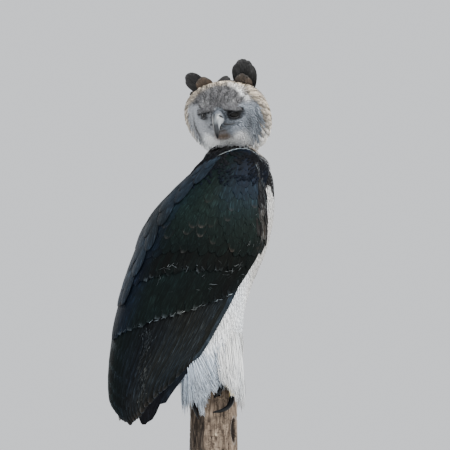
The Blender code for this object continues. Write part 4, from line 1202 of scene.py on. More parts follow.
# %% Brows
brows = Coat()
for side, _ in SIDES:
    count = 420
    share = draw(0, 1, count)
    layer_up = np.sort(draw(0, 1, count))
    y = 0.012 + 0.041 * share
    out, _, _ = eye_axes(1)
    arch = 0.002 * np.sin(share * math.pi) - 0.01 * share**1.6 - (0.0045 if side < 0 else 0)
    theta, psi = face_at(y - 0.002, 0.024 + arch + 0.013 * layer_up)
    root = head_local(theta, psi) - 0.002 * out
    y = y + 0.004 * draw(0, 1, count)
    theta, psi = face_at(y, 0.016 + arch * 0.8 + 0.011 * layer_up)
    reach = (0.0016 + 0.0038 * np.sin(share * math.pi) ** 0.7) * (1 - 0.75 * layer_up)
    tip = head_local(theta, psi) + out * (reach + draw(0, 0.0012, count))[:, None]
    control = (root + tip) / 2 + out * (0.0028 - 0.0012 * layer_up)[:, None] + (0, 0, 0.001)
    flip = np.array((1, side, 1))
    points = bent_vanes(
        root * flip, control * flip, tip * flip, unit(np.array((-0.3, side, 0))),
        draw(0.0009, 0.0014, count), ROUNDED,
    )
    # The lowest brow feathers and their tips are painted dark grey, a painted shadow under the brow's
    # overhang.
    base = blended(MID_GREY * 1.1, DARK_GREY * 0.8, ramp(0.22 - layer_up, 0.0, 0.15))
    base = base * draw(0.4, 1.7, (count, 1))
    tip_share = 0.8 * ramp(0.35 - layer_up, 0.0, 0.3)
    brows.grow(
        from_head(points), ROUNDED, base, bake_disc(theta, side * psi), tip=DARK_GREY, tip_from=0.7,
        tip_share=tip_share,
    )
brows.make("brow_feathers", soft_grey, "grey_feather")

# %% [markdown]
# Below the eye the bill runs back as a soft pale fold with a slit, painted near black for the shade inside
# it.
# Each of the three is a thin tube along the mouth's line, and on the far side only its first part shows.

# %% Lips
LIP_STEPS, LIP_AROUND = 40, 16
LIP_PARTS = [
    # name, how far below the mouth's line, radius, how far it stands out, colour
    ("upper", 0.003, 0.0011, 0.0000, (0.11, 0.12, 0.135)),
    # the slit's near black is painted shade inside the mouth's line
    ("slit", 0.0, 0.0028, 0.0012, (0.003, 0.003, 0.0035)),
    ("lower", -0.004, 0.0024, -0.0003, (0.12, 0.133, 0.15)),
]
MOUTH_REACH = {-1: 1.6, 1: 4}
lip_finish = Finish("lip_skin", Specular_IOR_Level=0.4)
wrinkles = lip_finish.noise(700.0, 3.0)
lip_colour = lip_finish.mix(wrinkles * 0.6, lip_finish.tint(), (0.05, 0.055, 0.065))
lip_finish.feed(Base_Color=lip_colour, Roughness=0.4 + wrinkles * 0.25)
lip_finish.bump(wrinkles, 0.0003)


def tube_rings(centre, outward, radius, flat, around):
    """Rings of a tube along a line of points, flattened by a share in the outward direction."""
    up = unit(np.cross(unit(np.gradient(centre, axis=0)), outward))
    turn = ring_of(around)[None, :, None]
    ring = outward[:, None] * np.cos(turn) * flat + up[:, None] * np.sin(turn)
    return centre[:, None] + ring * radius[:, None, None]


for side, side_name in SIDES:
    for part, drop, thick, proud, tone in LIP_PARTS:
        reach = MOUTH_REACH[side]
        share = np.linspace(0, reach, LIP_STEPS)
        y, z = mouth_at(share)
        close = 1 - (0.97 * (share / reach) ** 0.7 if part == "lower" else 0.8 * (share / reach) ** 1.1)
        centre = head_local(*face_at(y, z + drop * close))
        out = unit(centre * (1, 0.8, 0.8))
        radius = thick * close * np.sqrt(np.clip((reach + 0.02 - share) / 0.6, 0.02, 1))
        rings = tube_rings(centre, out, radius, 0.7, LIP_AROUND) + out[:, None] * proud
        settle(tinted_form(
            f"lip_{part}_{side_name}", from_head(rings * (1, side, 1)), tone, lip_finish
        ))

# %% [markdown]
# Bunches of long broad feathers stand at the back of the crown and cup towards the face, dark slate with
# a worn, pale rim. Each bunch is a fan of nine vanes with one root, the outer ones shorter.

# %% Crest
CREST = [
    # root, tip, half width, curl towards the face, how pale it is, from 0, slate, to 1, tan
    ((-0.038, 0.04, 0.036), (-0.03, 0.053, 0.119), 0.035, 0.02, 0.05),
    ((-0.014, 0.048, 0.04), (-0.006, 0.05, 0.088), 0.024, 0.014, 0.7),
    ((-0.032, -0.06, 0.036), (-0.024, -0.097, 0.094), 0.025, 0.018, 0.05),
    ((-0.012, -0.046, 0.042), (-0.004, -0.053, 0.086), 0.025, 0.014, 1.3),
    ((0.000, -0.06, 0.03), (0.004, -0.086, 0.051), 0.013, 0.01, 0.2),
    ((-0.058, 0.02, 0.034), (-0.096, 0.026, 0.066), 0.024, 0.006, 0.1),
    ((-0.058, -0.022, 0.034), (-0.096, -0.03, 0.062), 0.024, 0.006, 0.1),
]
CREST_SLATE, CREST_TAN = (0.0065, 0.0075, 0.0095), (0.12, 0.08, 0.052)
CREST_RIM = (0.1, 0.1, 0.1)
CREST_VANE = Vane(FIRM, root=0.3, full=0.55, round_from=0.66, tip=0.2)
FAN = np.array((-0.72, 0.72, -0.54, 0.54, -0.36, 0.36, -0.18, 0.18, 0.0))
FORWARD = np.array((1.0, 0.0, 0.0))

crest = Coat()
for number, (root, tip, half_width, curl, pale) in enumerate(CREST):
    root, tip = np.array(root), np.array(tip)
    root = root - (tip - root) * 0.25
    across = unit(np.cross(tip - root, FORWARD))
    short = FAN**2 * 0.26 + draw(0, 0.05, 9)
    tips = tip + across * (FAN * half_width * 0.85)[:, None] - (tip - root) * short[:, None]
    tips = tips + FORWARD * 0.5 * curl + FORWARD * 0.006 * np.abs(FAN)[:, None]
    roots = root + across * (FAN * half_width * 0.35)[:, None]
    points = bent_vanes(
        roots, (roots + tips) / 2 - FORWARD * 0.5 * curl, tips, across,
        half_width * (0.5 - 0.14 * np.abs(FAN)), CREST_VANE, cup=0.3,
    )
    base = blended(CREST_SLATE, CREST_TAN, np.full(9, pale) * draw(0.7, 1.0, 9))
    places = pairs(0.08 + 0.12 * number + 0 * FAN, 0.05 + 0.1 * np.arange(9))
    crest.grow(
        from_head(points), CREST_VANE, base, places, patch=0.08, tip=CREST_RIM, tip_from=0.94,
        tip_share=draw(0.2, 0.8, 9), rim=CREST_RIM, rim_share=0.3, rim_from=0.86,
        shaft=0.35, root_dark=0.4, vary=0.35,
    )
crest.make("crest_feathers", feather_finish("crest_plumage", 0.65, 0.6, 0.1, wear=1.2), "grey_feather")

# %% [markdown]
# A black band crosses the upper breast and rings the neck, in rows that hang down and lie close.

# %% Collar
BLACK_PAINT = {"rim": BLACK * 4, "rim_share": 0.4, "vary": 0.3}
collar = Coat()
roots = rows_over(-math.pi, math.pi, np.arange(0.577, 0.478, -0.007), 0.007, 0.07)
points = laid_vanes(neck_surface, roots, roots + (0, -0.026), 0.0056, (-0.002, 0.003), ROUNDED)
places = pairs(0.5 + roots[:, 0] / 6.6, (roots[:, 1] - 0.45) * 7)
collar.grow(points, ROUNDED, BLACK, places, **BLACK_PAINT)
collar.make("collar_feathers", collar_black, "black_feather")

# %% [markdown]
# Behind, the neck's feathers stand off and fill the hollow above the back. On the far side, brown and
# cream ones stream over the collar. Both are free, bent vanes.

# %% Hind neck and nape
def round_neck(angle):
    """Unit vectors outward from the neck's axis, and along its ring."""
    out = points_of(np.cos(angle), np.sin(angle), 0 * angle)
    return out, points_of(-np.sin(angle), np.cos(angle), 0 * angle)


hind = Coat()
count = 420
angle = math.pi + draw(-1.25, 1.25, count)
high = np.sort(draw(0.505, 0.592, count)) - 0.02 * np.abs(angle - math.pi)
out, across = round_neck(angle)
puff = 0.013 * bump_at(angle, math.pi, 1.2) * ramp(high, 0.49, 0.56)
root = neck_surface(angle, high) - out * 0.002
tip = neck_surface(angle, high - draw(0.024, 0.036, count)) + out * (0.002 + puff)[:, None]
control = (root + tip) / 2 + out * (0.003 + 0.7 * puff)[:, None]
points = bent_vanes(root, control, tip, across, draw(0.0048, 0.0066, count), ROUNDED)
hind.grow(points, ROUNDED, BLACK, pairs(angle / 6.6, (high - 0.45) * 6), **BLACK_PAINT)
hind.make("hind_neck_feathers", collar_black, "black_feather")

NAPE_VANE = Vane(SOFT, round_from=0.3, tip=0.1)
nape = Coat()
count = 210
angle = draw(-0.75, 0.9, count)
high = np.sort(draw(0.52, 0.592, count))
root = neck_surface(angle, high)
tip_angle = angle + draw(-0.05, 0.08, count)
tip = neck_surface(tip_angle, high - draw(0.026, 0.044, count))
out, across = round_neck(angle)
tip = tip + out * (0.0035 + 0.003 * ramp(high, 0.54, 0.58))[:, None]
half_width = draw(0.0018, 0.0034, count)
points = bent_vanes(root, (root + tip) / 2 + out * 0.004, tip, across, half_width, NAPE_VANE)
tone = blended(BLACK * 2, CREAM * 0.75, draw(0, 1, count) * ramp(high, 0.515, 0.575))
places = pairs(0.5 + angle / 3, (high - 0.5) * 9)
nape.grow(points, NAPE_VANE, tone, places, shaft=0.5, root_dark=0.4, vary=0.2)
nape.make("nape_feathers", collar_black, "grey_feather")

# %% [markdown]
# Everything below the collar is white. The feathers lie so close that the breast reads as one soft
# surface, so they hardly rise and their tips are thin.

# %% Breast and belly
BREAST_VANE = Vane(SOFT, round_from=0.2, tip=0.08)
breast = Coat()
roots = rows_over(-1.95, 1.95, np.arange(0.548, 0.095, -0.009), 0.0072, 0.105)
points = laid_vanes(
    torso_surface, roots, roots + (0, -0.05), draw(0.0062, 0.0085, len(roots)),
    (-0.0013, 0.0003), BREAST_VANE, crown=0.01,
)
places = pairs(0.5 + roots[:, 0] / 4.4, roots[:, 1] * 1.7)
breast.grow(
    points, BREAST_VANE, body_colour(torso_surface(roots[:, 0], roots[:, 1])), places, shaft=0.05,
    root_dark=0.06, vary=0.05,
)
breast.make("breast_feathers", soft_white, "white_feather")

# %% [markdown]
# A harpy's trousers are long, soft and finely barred. Thin feathers lie down the thigh in rows and lift
# more the lower they grow, and on the right leg they swirl forward.

# %% Thighs
BAR_GREY = np.array((0.22, 0.24, 0.28))
COOL_SHADE, WARM_SHADE = (0.66, 0.74, 0.83), (0.72, 0.7, 0.67)
THIGH_VANE = Vane(SOFT, round_from=0.15, tip=0.04)


def barred(points, tints, strength, spacing=0.008):
    x, y, z = np.moveaxis(points, -1, 0)
    wave = np.sin(z / spacing * 2 * math.pi + x * 260 + 3 * np.sin(y * 190))
    return blended(tints, BAR_GREY, strength * ramp(wave, 0.1, 0.9))


def grow_thigh(coat, side):
    roots = rows_over(0, 2 * math.pi, np.arange(0.262, 0.03, -0.006), 0.0042, 0.046, 0.45)
    count = len(roots)
    low = ramp(0.16 - roots[:, 1], 0.0, 0.1)
    near = low if side < 0 else low * 0.2
    swirl = low * -0.55 * bump_at(roots[:, 0], math.radians(80), 1.1) if side < 0 else 0.0
    sway = swirl + 0.1 * np.sin(roots[:, 0] * 6 + roots[:, 1] * 50)
    tips = roots + pairs(sway, -draw(0.036, 0.054, count))
    half_width = draw(0.0017, 0.003, count)
    rise = draw(0.001, 0.0032, count) * (0.25 + 0.75 * low)
    points = laid_vanes(
        leg_surface(side), roots, tips, half_width, (-0.0022, rise), THIGH_VANE, facing=side, crown=0.06
    )
    tone = blended(WHITE, WHITE * COOL_SHADE, near)
    tints = shaded(tone, count, THIGH_VANE, shaft=0.06, root_dark=0.16, vary=0.09)
    tints = barred(points, tints, (0.4 * low * draw(0.2, 1, count))[:, None, None])
    coat.add(points, tints, pairs(roots[:, 0] / 6.4, roots[:, 1] * 1.8 + 0.5))


print("bars of the legs are ready")

# %% [markdown]
# The last feathers hang free over the toes and the edge of the perch. Worn barbs cling together, so each
# is drawn towards the tip of its clump. A table says how low and how far out the clumps hang.

# %% Trousers
# angle round the leg in degrees, height of the lock's tip, its distance from the leg's middle
TROUSER_TIPS = {
    -1: [
        (-90, 0.01, 0.03), (-8, 0.01, 0.046), (18, 0.002, 0.044), (44, -0.006, 0.04),
        (70, -0.016, 0.036), (96, -0.028, 0.038), (122, -0.04, 0.046), (148, -0.054, 0.052),
        (173, -0.054, 0.051), (198, -0.036, 0.046), (270, 0.01, 0.03),
    ],
    1: [
        (-90, -0.028, 0.04), (-62, -0.034, 0.047), (-28, -0.05, 0.052), (-2, -0.026, 0.056),
        (22, 0.01, 0.066), (48, -0.012, 0.046), (74, -0.028, 0.04), (100, -0.038, 0.042),
        (126, -0.042, 0.048), (152, -0.046, 0.05), (178, -0.036, 0.048), (270, -0.028, 0.04),
    ],
}
LOCK_VANE = Vane(LOCK, root=0.8, full=0.4, round_from=0.25, tip=0.14)
LOCKS, CLUMPS = 2500, 84


def lock_tints(points, tone, most_barred):
    count = len(points)
    tints = shaded(
        tone, count, LOCK_VANE, root_dark=0.22, rim=BAR_GREY, rim_share=0.16, rim_from=0.3, vary=0.18,
        tip=BAR_GREY * (0.75, 0.68, 0.58), tip_from=0.5,
        tip_share=np.clip(draw(-0.3, 1.1, count), 0, 1),
    )
    return barred(points, tints, draw(0.1, most_barred, (count, 1, 1)))


def round_places(count, jitter):
    return np.radians(-90 + 360 * (np.arange(count) + draw(-jitter, jitter, count)) / count)


def grow_locks(coat, side):
    clump_angle = round_places(CLUMPS, 0.35)
    clump_drop = draw(-0.012, 0.006, CLUMPS)
    clump_reach = draw(0.93, 1.06, CLUMPS)
    angle = round_places(LOCKS, 0.4)
    own = np.clip(((np.degrees(angle) + 90) / 360 * CLUMPS).astype(int), 0, CLUMPS - 1)
    layer_up = draw(0, 1, LOCKS) ** 1.2
    tip_angle = angle + (clump_angle[own] - angle) * 0.65
    tip_height, reach = along(TROUSER_TIPS[side], np.degrees(tip_angle))
    tip_height = tip_height + layer_up * 0.04 + clump_drop[own] + draw(-0.004, 0.004, LOCKS)
    reach = reach * clump_reach[own] * (1 + 0.05 * layer_up)
    if side < 0:
        angle = angle + 0.95 * bump_at(tip_angle, math.radians(78), 0.9)
    root_height = 0.02 + 0.085 * layer_up
    out_root = points_of(np.cos(angle), side * np.sin(angle), 0)
    out = points_of(np.cos(tip_angle), side * np.sin(tip_angle), 0)
    root = leg_surface(side)(angle, root_height) - out_root * 0.004
    x, y, _, _ = along(LEGS[side], root_height)
    middle = points_of(x, side * y, PERCH_TOP + root_height)
    tip = points_of(x, side * y, PERCH_TOP + tip_height) + out * reach[:, None]
    skin_reach = np.linalg.norm(root - middle, axis=1)
    control = middle + (out + out_root) / 2 * (reach * 0.55 + skin_reach * 0.62)[:, None]
    control[:, 2] += (tip_height - root_height) * 0.45
    control += RANDOM.normal(0, 0.0042, (LOCKS, 3)) * (1, 1, 0.3)
    across = points_of(out[:, 1], -out[:, 0], 0)
    half_width = draw(0.0006, 0.0013, LOCKS)
    points = bent_vanes(root, control, tip, across, half_width, LOCK_VANE, crown=0.15)
    tints = lock_tints(points, WHITE * (COOL_SHADE if side < 0 else WARM_SHADE), 0.7 if side < 0 else 0.4)
    coat.add(points, tints, pairs((tip_angle + 1.6) / 6.4, layer_up * 0.4 + 0.02))


for side, side_name in SIDES:
    trousers = Coat()
    grow_thigh(trousers, side)
    grow_locks(trousers, side)
    trousers.make(f"trousers_{side_name}", soft_white, "white_feather")

# %% [markdown]
# White feathers of the vent hang between the legs, and two curtains fall past the near foot's toes, so
# only its front claws show. Their tips gather in twelve clumps each.

# %% Vent and toe locks
VENT_VANE = Vane(LOCK, root=0.8, full=0.4, round_from=0.3, tip=0.08)
VENT_LOCKS = 900
vent = Coat()
angle = draw(0, 2 * math.pi, VENT_LOCKS)
root = torso_surface(angle, draw(0.118, 0.15, VENT_LOCKS))
root = root + (points_of(-0.03, 0, 0) - root) * (0.1, 0.1, 0)
back_side = ramp(-np.cos(angle), -0.2, 0.8)
length = 0.07 + 0.05 * back_side + 0.01 * np.sin(angle * 17)
length = length + draw(-0.01, 0.01, VENT_LOCKS)
tip = root + points_of(0.01 - 0.02 * back_side, 0.003 * np.sin(angle * 23), -length)
control = (root + tip) / 2 + points_of(np.cos(angle) * 0.01, np.sin(angle) * 0.005, 0)
across = points_of(np.sin(angle), -np.cos(angle), 0)
half_width = draw(0.001, 0.0019, VENT_LOCKS)
points = bent_vanes(root, control, tip, across, half_width, VENT_VANE, crown=0.2)
# Painted shade: the vent's feathers are painted darker and a little warmer towards the front.
tone = WHITE * (1 - ramp(np.cos(angle), -0.1, 0.8)[:, None] * (0.3, 0.32, 0.35))
tints = barred(points, shaded(tone, VENT_LOCKS, VENT_VANE, vary=0.12), 0.15)
vent.add(points, tints, pairs(angle / 6.4, draw(0.1, 0.9, VENT_LOCKS)))
vent.make("vent_feathers", soft_white, "white_feather")

TOE_CURTAINS = [
    # first and last root x, y of the tips there, how far the tips are to the right of the roots,
    # count, tone, then the share of the way along and how far the tips hang below the perch there
    (-0.004, 0.05, -0.084, -0.076, 0.01, 720, (0.86, 0.85, 0.82),
     [(0.0, -0.014), (0.3, -0.004), (0.5, 0.008), (0.62, 0.022), (0.8, 0.028), (1.0, 0.034)]),
    (-0.07, -0.044, -0.05, -0.062, 0.026, 600, COOL_SHADE,
     [(0.0, 0.01), (0.25, 0.046), (0.45, 0.058), (0.7, 0.04), (0.85, 0.018), (1.0, -0.006)]),
]
over_toes = Coat()
for first_x, last_x, first_y, last_y, lean, count, tone, drops in TOE_CURTAINS:
    share = draw(0, 1, count)
    clump = np.round(share * 11) / 11
    mixed = share + (clump - share) * 0.45
    root_y = 0.7 * (first_y + (last_y - first_y) * share) + draw(-0.004, 0.004, count)
    root_height = draw(0.04, 0.13, count)
    root = points_of(first_x + (last_x - first_x) * share, root_y, PERCH_TOP + root_height)
    tip_x = first_x + lean + (last_x - first_x) * mixed + RANDOM.normal(0, 0.0028, count)
    drop = along(drops, clump)[0] - 0.006 * np.sin(clump * 31) - draw(-0.006, 0.026, count)
    tip = points_of(tip_x, first_y + (last_y - first_y) * mixed, PERCH_TOP - drop)
    control = (root + tip) / 2 + (-0.3 * lean, -0.012, 0.012) + RANDOM.normal(0, 0.0045, (count, 3))
    half_width = draw(0.0006, 0.0012, count)
    points = bent_vanes(root, control, tip, (0.97, 0.25, 0), half_width, LOCK_VANE, crown=0.15)
    tints = lock_tints(points, WHITE * tone, 0.6)
    over_toes.add(points, tints, pairs(share * 0.9, draw(0.1, 0.9, count)))
over_toes.make("toe_locks", soft_white, "white_feather")

# %% [markdown]
# A folded wing is four tiers that overlap like tiles, from the bottom up: flight feathers, greater,
# median and small coverts. The scapulars hang over them from the back. Each feather lies on top of the
# next one in front, so only its front edge shows.

# %% Tones and tables of the wing
WING_GREEN = np.array((0.003, 0.006, 0.0052))
WING_BLUE = np.array((0.0036, 0.0062, 0.0115))
WING_DEEP = np.array((0.003, 0.0034, 0.005))
WING_OLIVE = np.array((0.0068, 0.0074, 0.0066))
WING_BROWN = np.array((0.034, 0.027, 0.022))
SCAPULAR = np.array((0.0108, 0.0152, 0.0195))
FRAY_PALE = np.array((0.3, 0.32, 0.31))

# tip angle in degrees and tip height along the lower edge of each tier
PRIMARY_TIPS = [(16, -0.088), (34, -0.082), (54, -0.072), (70, -0.052), (78, -0.036), (84, 0.008)]
FLIGHT_TIPS = [
    (-76, -0.04), (-60, -0.06), (-44, -0.076), (-26, -0.086), (-10, -0.082), (6, -0.068),
    (22, -0.045), (38, -0.02), (52, 0.004), (64, 0.028), (77, 0.052),
]
GREATER_TIPS = [
    (-74, 0.104), (-48, 0.122), (-29, 0.132), (-14, 0.143), (2, 0.155), (18, 0.168), (34, 0.182),
    (50, 0.196), (68, 0.215),
]
MEDIAN_TIPS = [
    (-72, 0.215), (-42, 0.238), (-22, 0.248), (-5, 0.253), (12, 0.258), (29, 0.263), (46, 0.268),
    (66, 0.272),
]
# x and height of the pale line along the top edge of the wing
PALE_LINE = [
    (-0.01, 0.531), (0.004, 0.537), (0.028, 0.547), (0.051, 0.555), (0.072, 0.554), (0.092, 0.544),
    (0.11, 0.525),
]
# root and tip of each scapular, as angle and height, and its half width
SCAPULARS = np.array([
    (-52, 0.56, -40, 0.5, 0.013), (-70, 0.555, -56, 0.486, 0.014), (-46, 0.535, -36, 0.462, 0.014),
    (-64, 0.525, -52, 0.448, 0.015), (-80, 0.515, -68, 0.438, 0.016), (-52, 0.495, -42, 0.415, 0.015),
    (-68, 0.48, -58, 0.396, 0.016), (-84, 0.47, -76, 0.38, 0.016), (-56, 0.445, -47, 0.362, 0.015),
    (-72, 0.43, -64, 0.34, 0.016), (-84, 0.41, -80, 0.318, 0.016), (-60, 0.395, -53, 0.305, 0.015),
    (-76, 0.375, -70, 0.28, 0.016), (-80, 0.35, -76, 0.25, 0.014), (-64, 0.34, -59, 0.245, 0.014),
    (-78, 0.32, -74, 0.215, 0.015), (-68, 0.29, -64, 0.18, 0.0135), (-77, 0.285, -74, 0.18, 0.012),
])


def wing_tone(angle, height):
    tone = painted(
        WING_GREEN,
        # The blue towards the wing's upper front is a painted bluish sheen on the green-black.
        (WING_BLUE, ramp(height, 0.36, 0.5) * ramp(angle, -0.3, 0.5)),
        (WING_OLIVE, ramp(0.16 - height, 0.0, 0.04) * ramp(angle, -0.7, -0.2)),
        (WING_BLUE * 1.3, ramp(-angle, 0.55, 1.0) * ramp(height, 0.1, 0.22)),
    )
    level = 1 + 0.9 * bump_at(height, 0.405, 0.065) - 0.5 * bump_at(height, 0.26, 0.045)
    return blended(tone * level[..., None], WING_DEEP * 0.7, ramp(0.04 - height, 0.0, 0.08))


print("scapulars of a wing:", len(SCAPULARS))

# %% [markdown]
# A wing feather is big enough to show its own pattern, so each gets its own square on the map that
# colours are baked to. A tier of them is laid from a table of tips.

# %% Coats of the wings
LONG_VANE = Vane(FIRM, root=0.6, full=0.4, round_from=0.78, tip=0.14)
COVERT_VANE = Vane(FIRM, root=0.6, full=0.4, round_from=0.62, tip=0.3)
SMALL_VANE = Vane(FIRM, root=0.7, full=0.4, round_from=0.5, tip=0.2)
POINTED_VANE = Vane(FIRM, root=0.7, full=0.4, round_from=0.4, tip=0.06)
WISP = Vane(THIN, round_from=0.5, tip=0.2)


class TiledCoat(Coat):
    def __init__(self, surface, facing, squares=32):
        super().__init__()
        self.surface, self.facing, self.squares = surface, facing, squares

    def tile(self, points, vane, tone, **paint):
        spots = np.arange(len(points)) + sum(grid[0] for grid in self.grids)
        places = pairs(spots % self.squares, spots // self.squares) / self.squares + 0.002
        self.grow(points, vane, tone, places, 1 / self.squares - 0.004, **paint)

    def lay(self, root, tip, half_width, rise, vane, **form):
        return laid_vanes(self.surface, root, tip, half_width, rise, vane, facing=self.facing, **form)

    def tier(self, table, count, length, half_width, rise, order, vane, lean=0.0, wander=0.7, **form):
        """One row of feathers whose tips follow a table of angle and height, and those tips."""
        tip_angle = np.linspace(table[0][0], table[-1][0], count) + draw(-wander, wander, count)
        tip_height = along(table, tip_angle)[0] + draw(-0.003, 0.003, count) * wander
        tip = pairs(np.radians(tip_angle), tip_height)
        root = pairs(np.radians(tip_angle * 0.9 + lean), np.minimum(tip_height + length, 0.558))
        stack = order * (1 - np.linspace(0, 1, count))
        half_width = half_width * draw(0.94, 1.08, count)
        return self.lay(root, tip, half_width, [r + stack for r in rise], vane, **form), *tip.T

    def wisps(self, root, tip, half_width, rise, tone, vary, bow=0.0, crown=0.5):
        self.tile(self.lay(root, tip, half_width, rise, WISP, bow=bow, crown=crown), WISP, tone, vary=vary)

    def angle_at(self, x_at, heights):
        """Angles of the wing's places with these x and heights."""
        level = np.radians(np.linspace(-86, 86, 40))
        return np.array([
            np.interp(x, self.surface(level, np.full(40, height))[:, 0], level)
            for x, height in zip(x_at, heights)
        ])


def drawn(count, *ranges):
    """One random array for each range, side by side."""
    return np.stack([draw(low, high, count) for low, high in ranges], -1)


print("squares on a wing's bake map:", 32 * 32)

# %% [markdown]
# The tiers are laid from the bottom up, each a little higher over the arm. Their edges are paler and
# their tips fray. The small coverts repeat one short row up to the shoulder, with a few worn brown ones.

# %% Tiers of a wing
def grow_flight_feathers(coat):
    points, _, _ = coat.tier(
        PRIMARY_TIPS, 12, 0.27, 0.0165, (-0.0165, -0.0115), 0.004, LONG_VANE, lean=-6, crown=0.05
    )
    coat.tile(points, LONG_VANE, WING_DEEP, rim=SCAPULAR * 0.6, rim_share=0.5, rim_from=0.9, shaft=0.3)
    points, angle, height = coat.tier(
        FLIGHT_TIPS, 24, 0.27, 0.015, (-0.0095, -0.0056), 0.0055, LONG_VANE, tilt=0.0012, crown=0.05,
        ragged=0.05,
    )
    rim = blended(SCAPULAR * 1.7, FRAY_PALE * 0.4, ramp(-angle, 0.95, 1.2))[:, None, None]
    coat.tile(
        points, LONG_VANE, wing_tone(angle, height + 0.08), rim=rim, rim_share=0.8, rim_from=0.84,
        shaft=0.35, tip=WING_BROWN * 1.5, tip_from=0.975, tip_share=0.6, vary=0.25,
    )


def grow_coverts(coat):
    points, angle, height = coat.tier(
        GREATER_TIPS, 20, 0.134, 0.0175, (-0.0046, -0.0028), 0.0028, COVERT_VANE, wander=1.0,
        tilt=0.0004, crown=0.03, ragged=0.14,
    )
    coat.tile(
        points, COVERT_VANE, wing_tone(angle, height + 0.06), tip=FRAY_PALE, tip_from=0.975,
        tip_share=draw(0.0, 1.0, 20) ** 2 * 0.2, rim=SCAPULAR * 0.6, rim_share=0.4,
        rim_from=0.9, shaft=0.1, vary=0.2,
    )
    points, angle, height = coat.tier(
        MEDIAN_TIPS, 24, 0.09, 0.015, (-0.0032, -0.0013), 0.0018, COVERT_VANE, wander=1.6,
        tilt=0.0003, crown=0.03, ragged=0.3,
    )
    coat.tile(
        points, COVERT_VANE, wing_tone(angle, height), tip=FRAY_PALE, tip_from=0.965,
        tip_share=draw(0, 1, 24) ** 3 * 0.15, rim=SCAPULAR * 0.6, rim_share=0.3,
        rim_from=0.9, shaft=0.1, vary=0.2,
    )


def grow_small_coverts(coat):
    for row, height in enumerate(np.arange(0.294, 0.545, 0.0205)):
        count = int(19 - row * 0.6)
        table = [(-66 + row * 1.2, height - 0.006), (0, height), (86, height + 0.01)]
        points, angle, height = coat.tier(
            table, count, 0.07, 0.0165, (-0.0006, 0.0000), 0.0002, POINTED_VANE, wander=2.2,
            crown=0.01, ragged=0.04,
        )
        patch = bump_at(height, 0.345, 0.035) * bump_at(angle, -0.1, 0.35)
        worn = draw(0, 1, count) < 0.04 + 0.45 * patch
        worn = worn * draw(0.4, 1.0, count)
        edge = ramp(angle, 0.9, 1.3)
        coat.tile(
            points, POINTED_VANE, blended(wing_tone(angle, height), WING_OLIVE * 1.3, edge * 0.7),
            rim=WING_BROWN * 1.2, rim_share=np.maximum(edge, worn * 0.6) * 0.8, rim_from=0.85,
            tip=blended(SCAPULAR * 0.7, WING_BROWN * 1.4, worn)[:, None, None], tip_from=0.9,
            tip_share=0.1 + np.maximum(edge * 0.5, worn * 0.7), vary=0.08,
        )


def grow_scapulars(coat):
    root_angle, root_height, tip_angle, tip_height, half_width = SCAPULARS.T
    points = coat.lay(
        pairs(np.radians(root_angle), root_height), pairs(np.radians(tip_angle), tip_height),
        half_width * 1.12, (0.0006, 0.0036), SMALL_VANE, crown=0.1, ragged=0.06,
    )
    coat.tile(
        points, SMALL_VANE, SCAPULAR * 1.25, rim=SCAPULAR * 0.25, rim_share=0.9, rim_from=0.8,
        tip=SCAPULAR * 0.25, tip_from=0.93, tip_share=0.8, shaft=0.15, vary=0.2,
    )


print("rows of small coverts:", len(np.arange(0.294, 0.545, 0.0205)))

# %% [markdown]
# Feathers that are months old fray. Narrow worn ones stream down the shoulder's front edge, frayed tips
# line the greater coverts, a pale line marks the wing's top edge, and a speckled streak and loose barbs
# break up the rest.

# %% Worn edges of a wing
def grow_worn_edge(coat):
    count = 64
    spot = drawn(count, (52, 86), (0.36, 0.545)) * (math.radians(1), 1)
    tip = spot + drawn(count, (0.02, 0.1), (-0.048, -0.03))
    half_width = draw(0.0022, 0.0042, count)
    points = coat.lay(spot, tip, half_width, (-0.0004, 0.0022), EDGE_VANE, crown=0.15)
    pale = draw(0.0, 1.0, count) ** 2
    coat.tile(
        points, EDGE_VANE, blended(BLACK, WING_BROWN, pale * 0.6), rim=FRAY_PALE * 0.5,
        rim_share=pale, rim_from=0.6, shaft=0.3, vary=0.3,
    )


def grow_frayed_line(coat):
    starts = np.linspace(-66, 60, 34) + draw(-1.5, 1.5, 34)
    starts = starts[np.sin(starts * 0.32) > -0.5]
    count = len(starts)
    ends = starts + draw(2.0, 5.5, count)
    root = pairs(np.radians(starts), along(GREATER_TIPS, starts)[0] - 0.001)
    end_height = along(GREATER_TIPS, ends)[0] + draw(-0.003, 0.001, count)
    half_width = draw(0.0003, 0.0007, count)
    bow = draw(-0.006, 0.003, count)
    tip = pairs(np.radians(ends), end_height)
    coat.wisps(root, tip, half_width, (0.0006, 0.001), FRAY_PALE * 0.5, 0.9, bow)


def grow_pale_line(coat):
    line = []
    for ahead in (0.0, 0.01):
        x_at = np.linspace(-0.002, 0.1, 30) + ahead
        height = along(PALE_LINE, x_at)[0] + draw(-0.0012, 0.0012, 30)
        line.append(pairs(coat.angle_at(x_at, height), height))
    half_width = draw(0.0003, 0.0009, 30)
    bow = draw(-0.003, 0.004, 30)
    coat.wisps(*line, half_width, (0.0052, 0.006), FRAY_PALE * (1.1, 1.05, 1.0), 0.4, bow, crown=0.6)


def grow_streak(coat):
    count = 200
    down = draw(0, 1, count)
    height = 0.128 - 0.165 * down
    x_at = -0.164 - 0.009 * down + RANDOM.normal(0, 0.0068, count)
    spot = pairs(coat.angle_at(x_at, height), height)
    tip = spot + drawn(count, (-0.02, 0.02), (-0.009, -0.003))
    coat.wisps(spot, tip, draw(0.0002, 0.0006, count), (0.0006, 0.0012), FRAY_PALE * 0.1, 0.8)


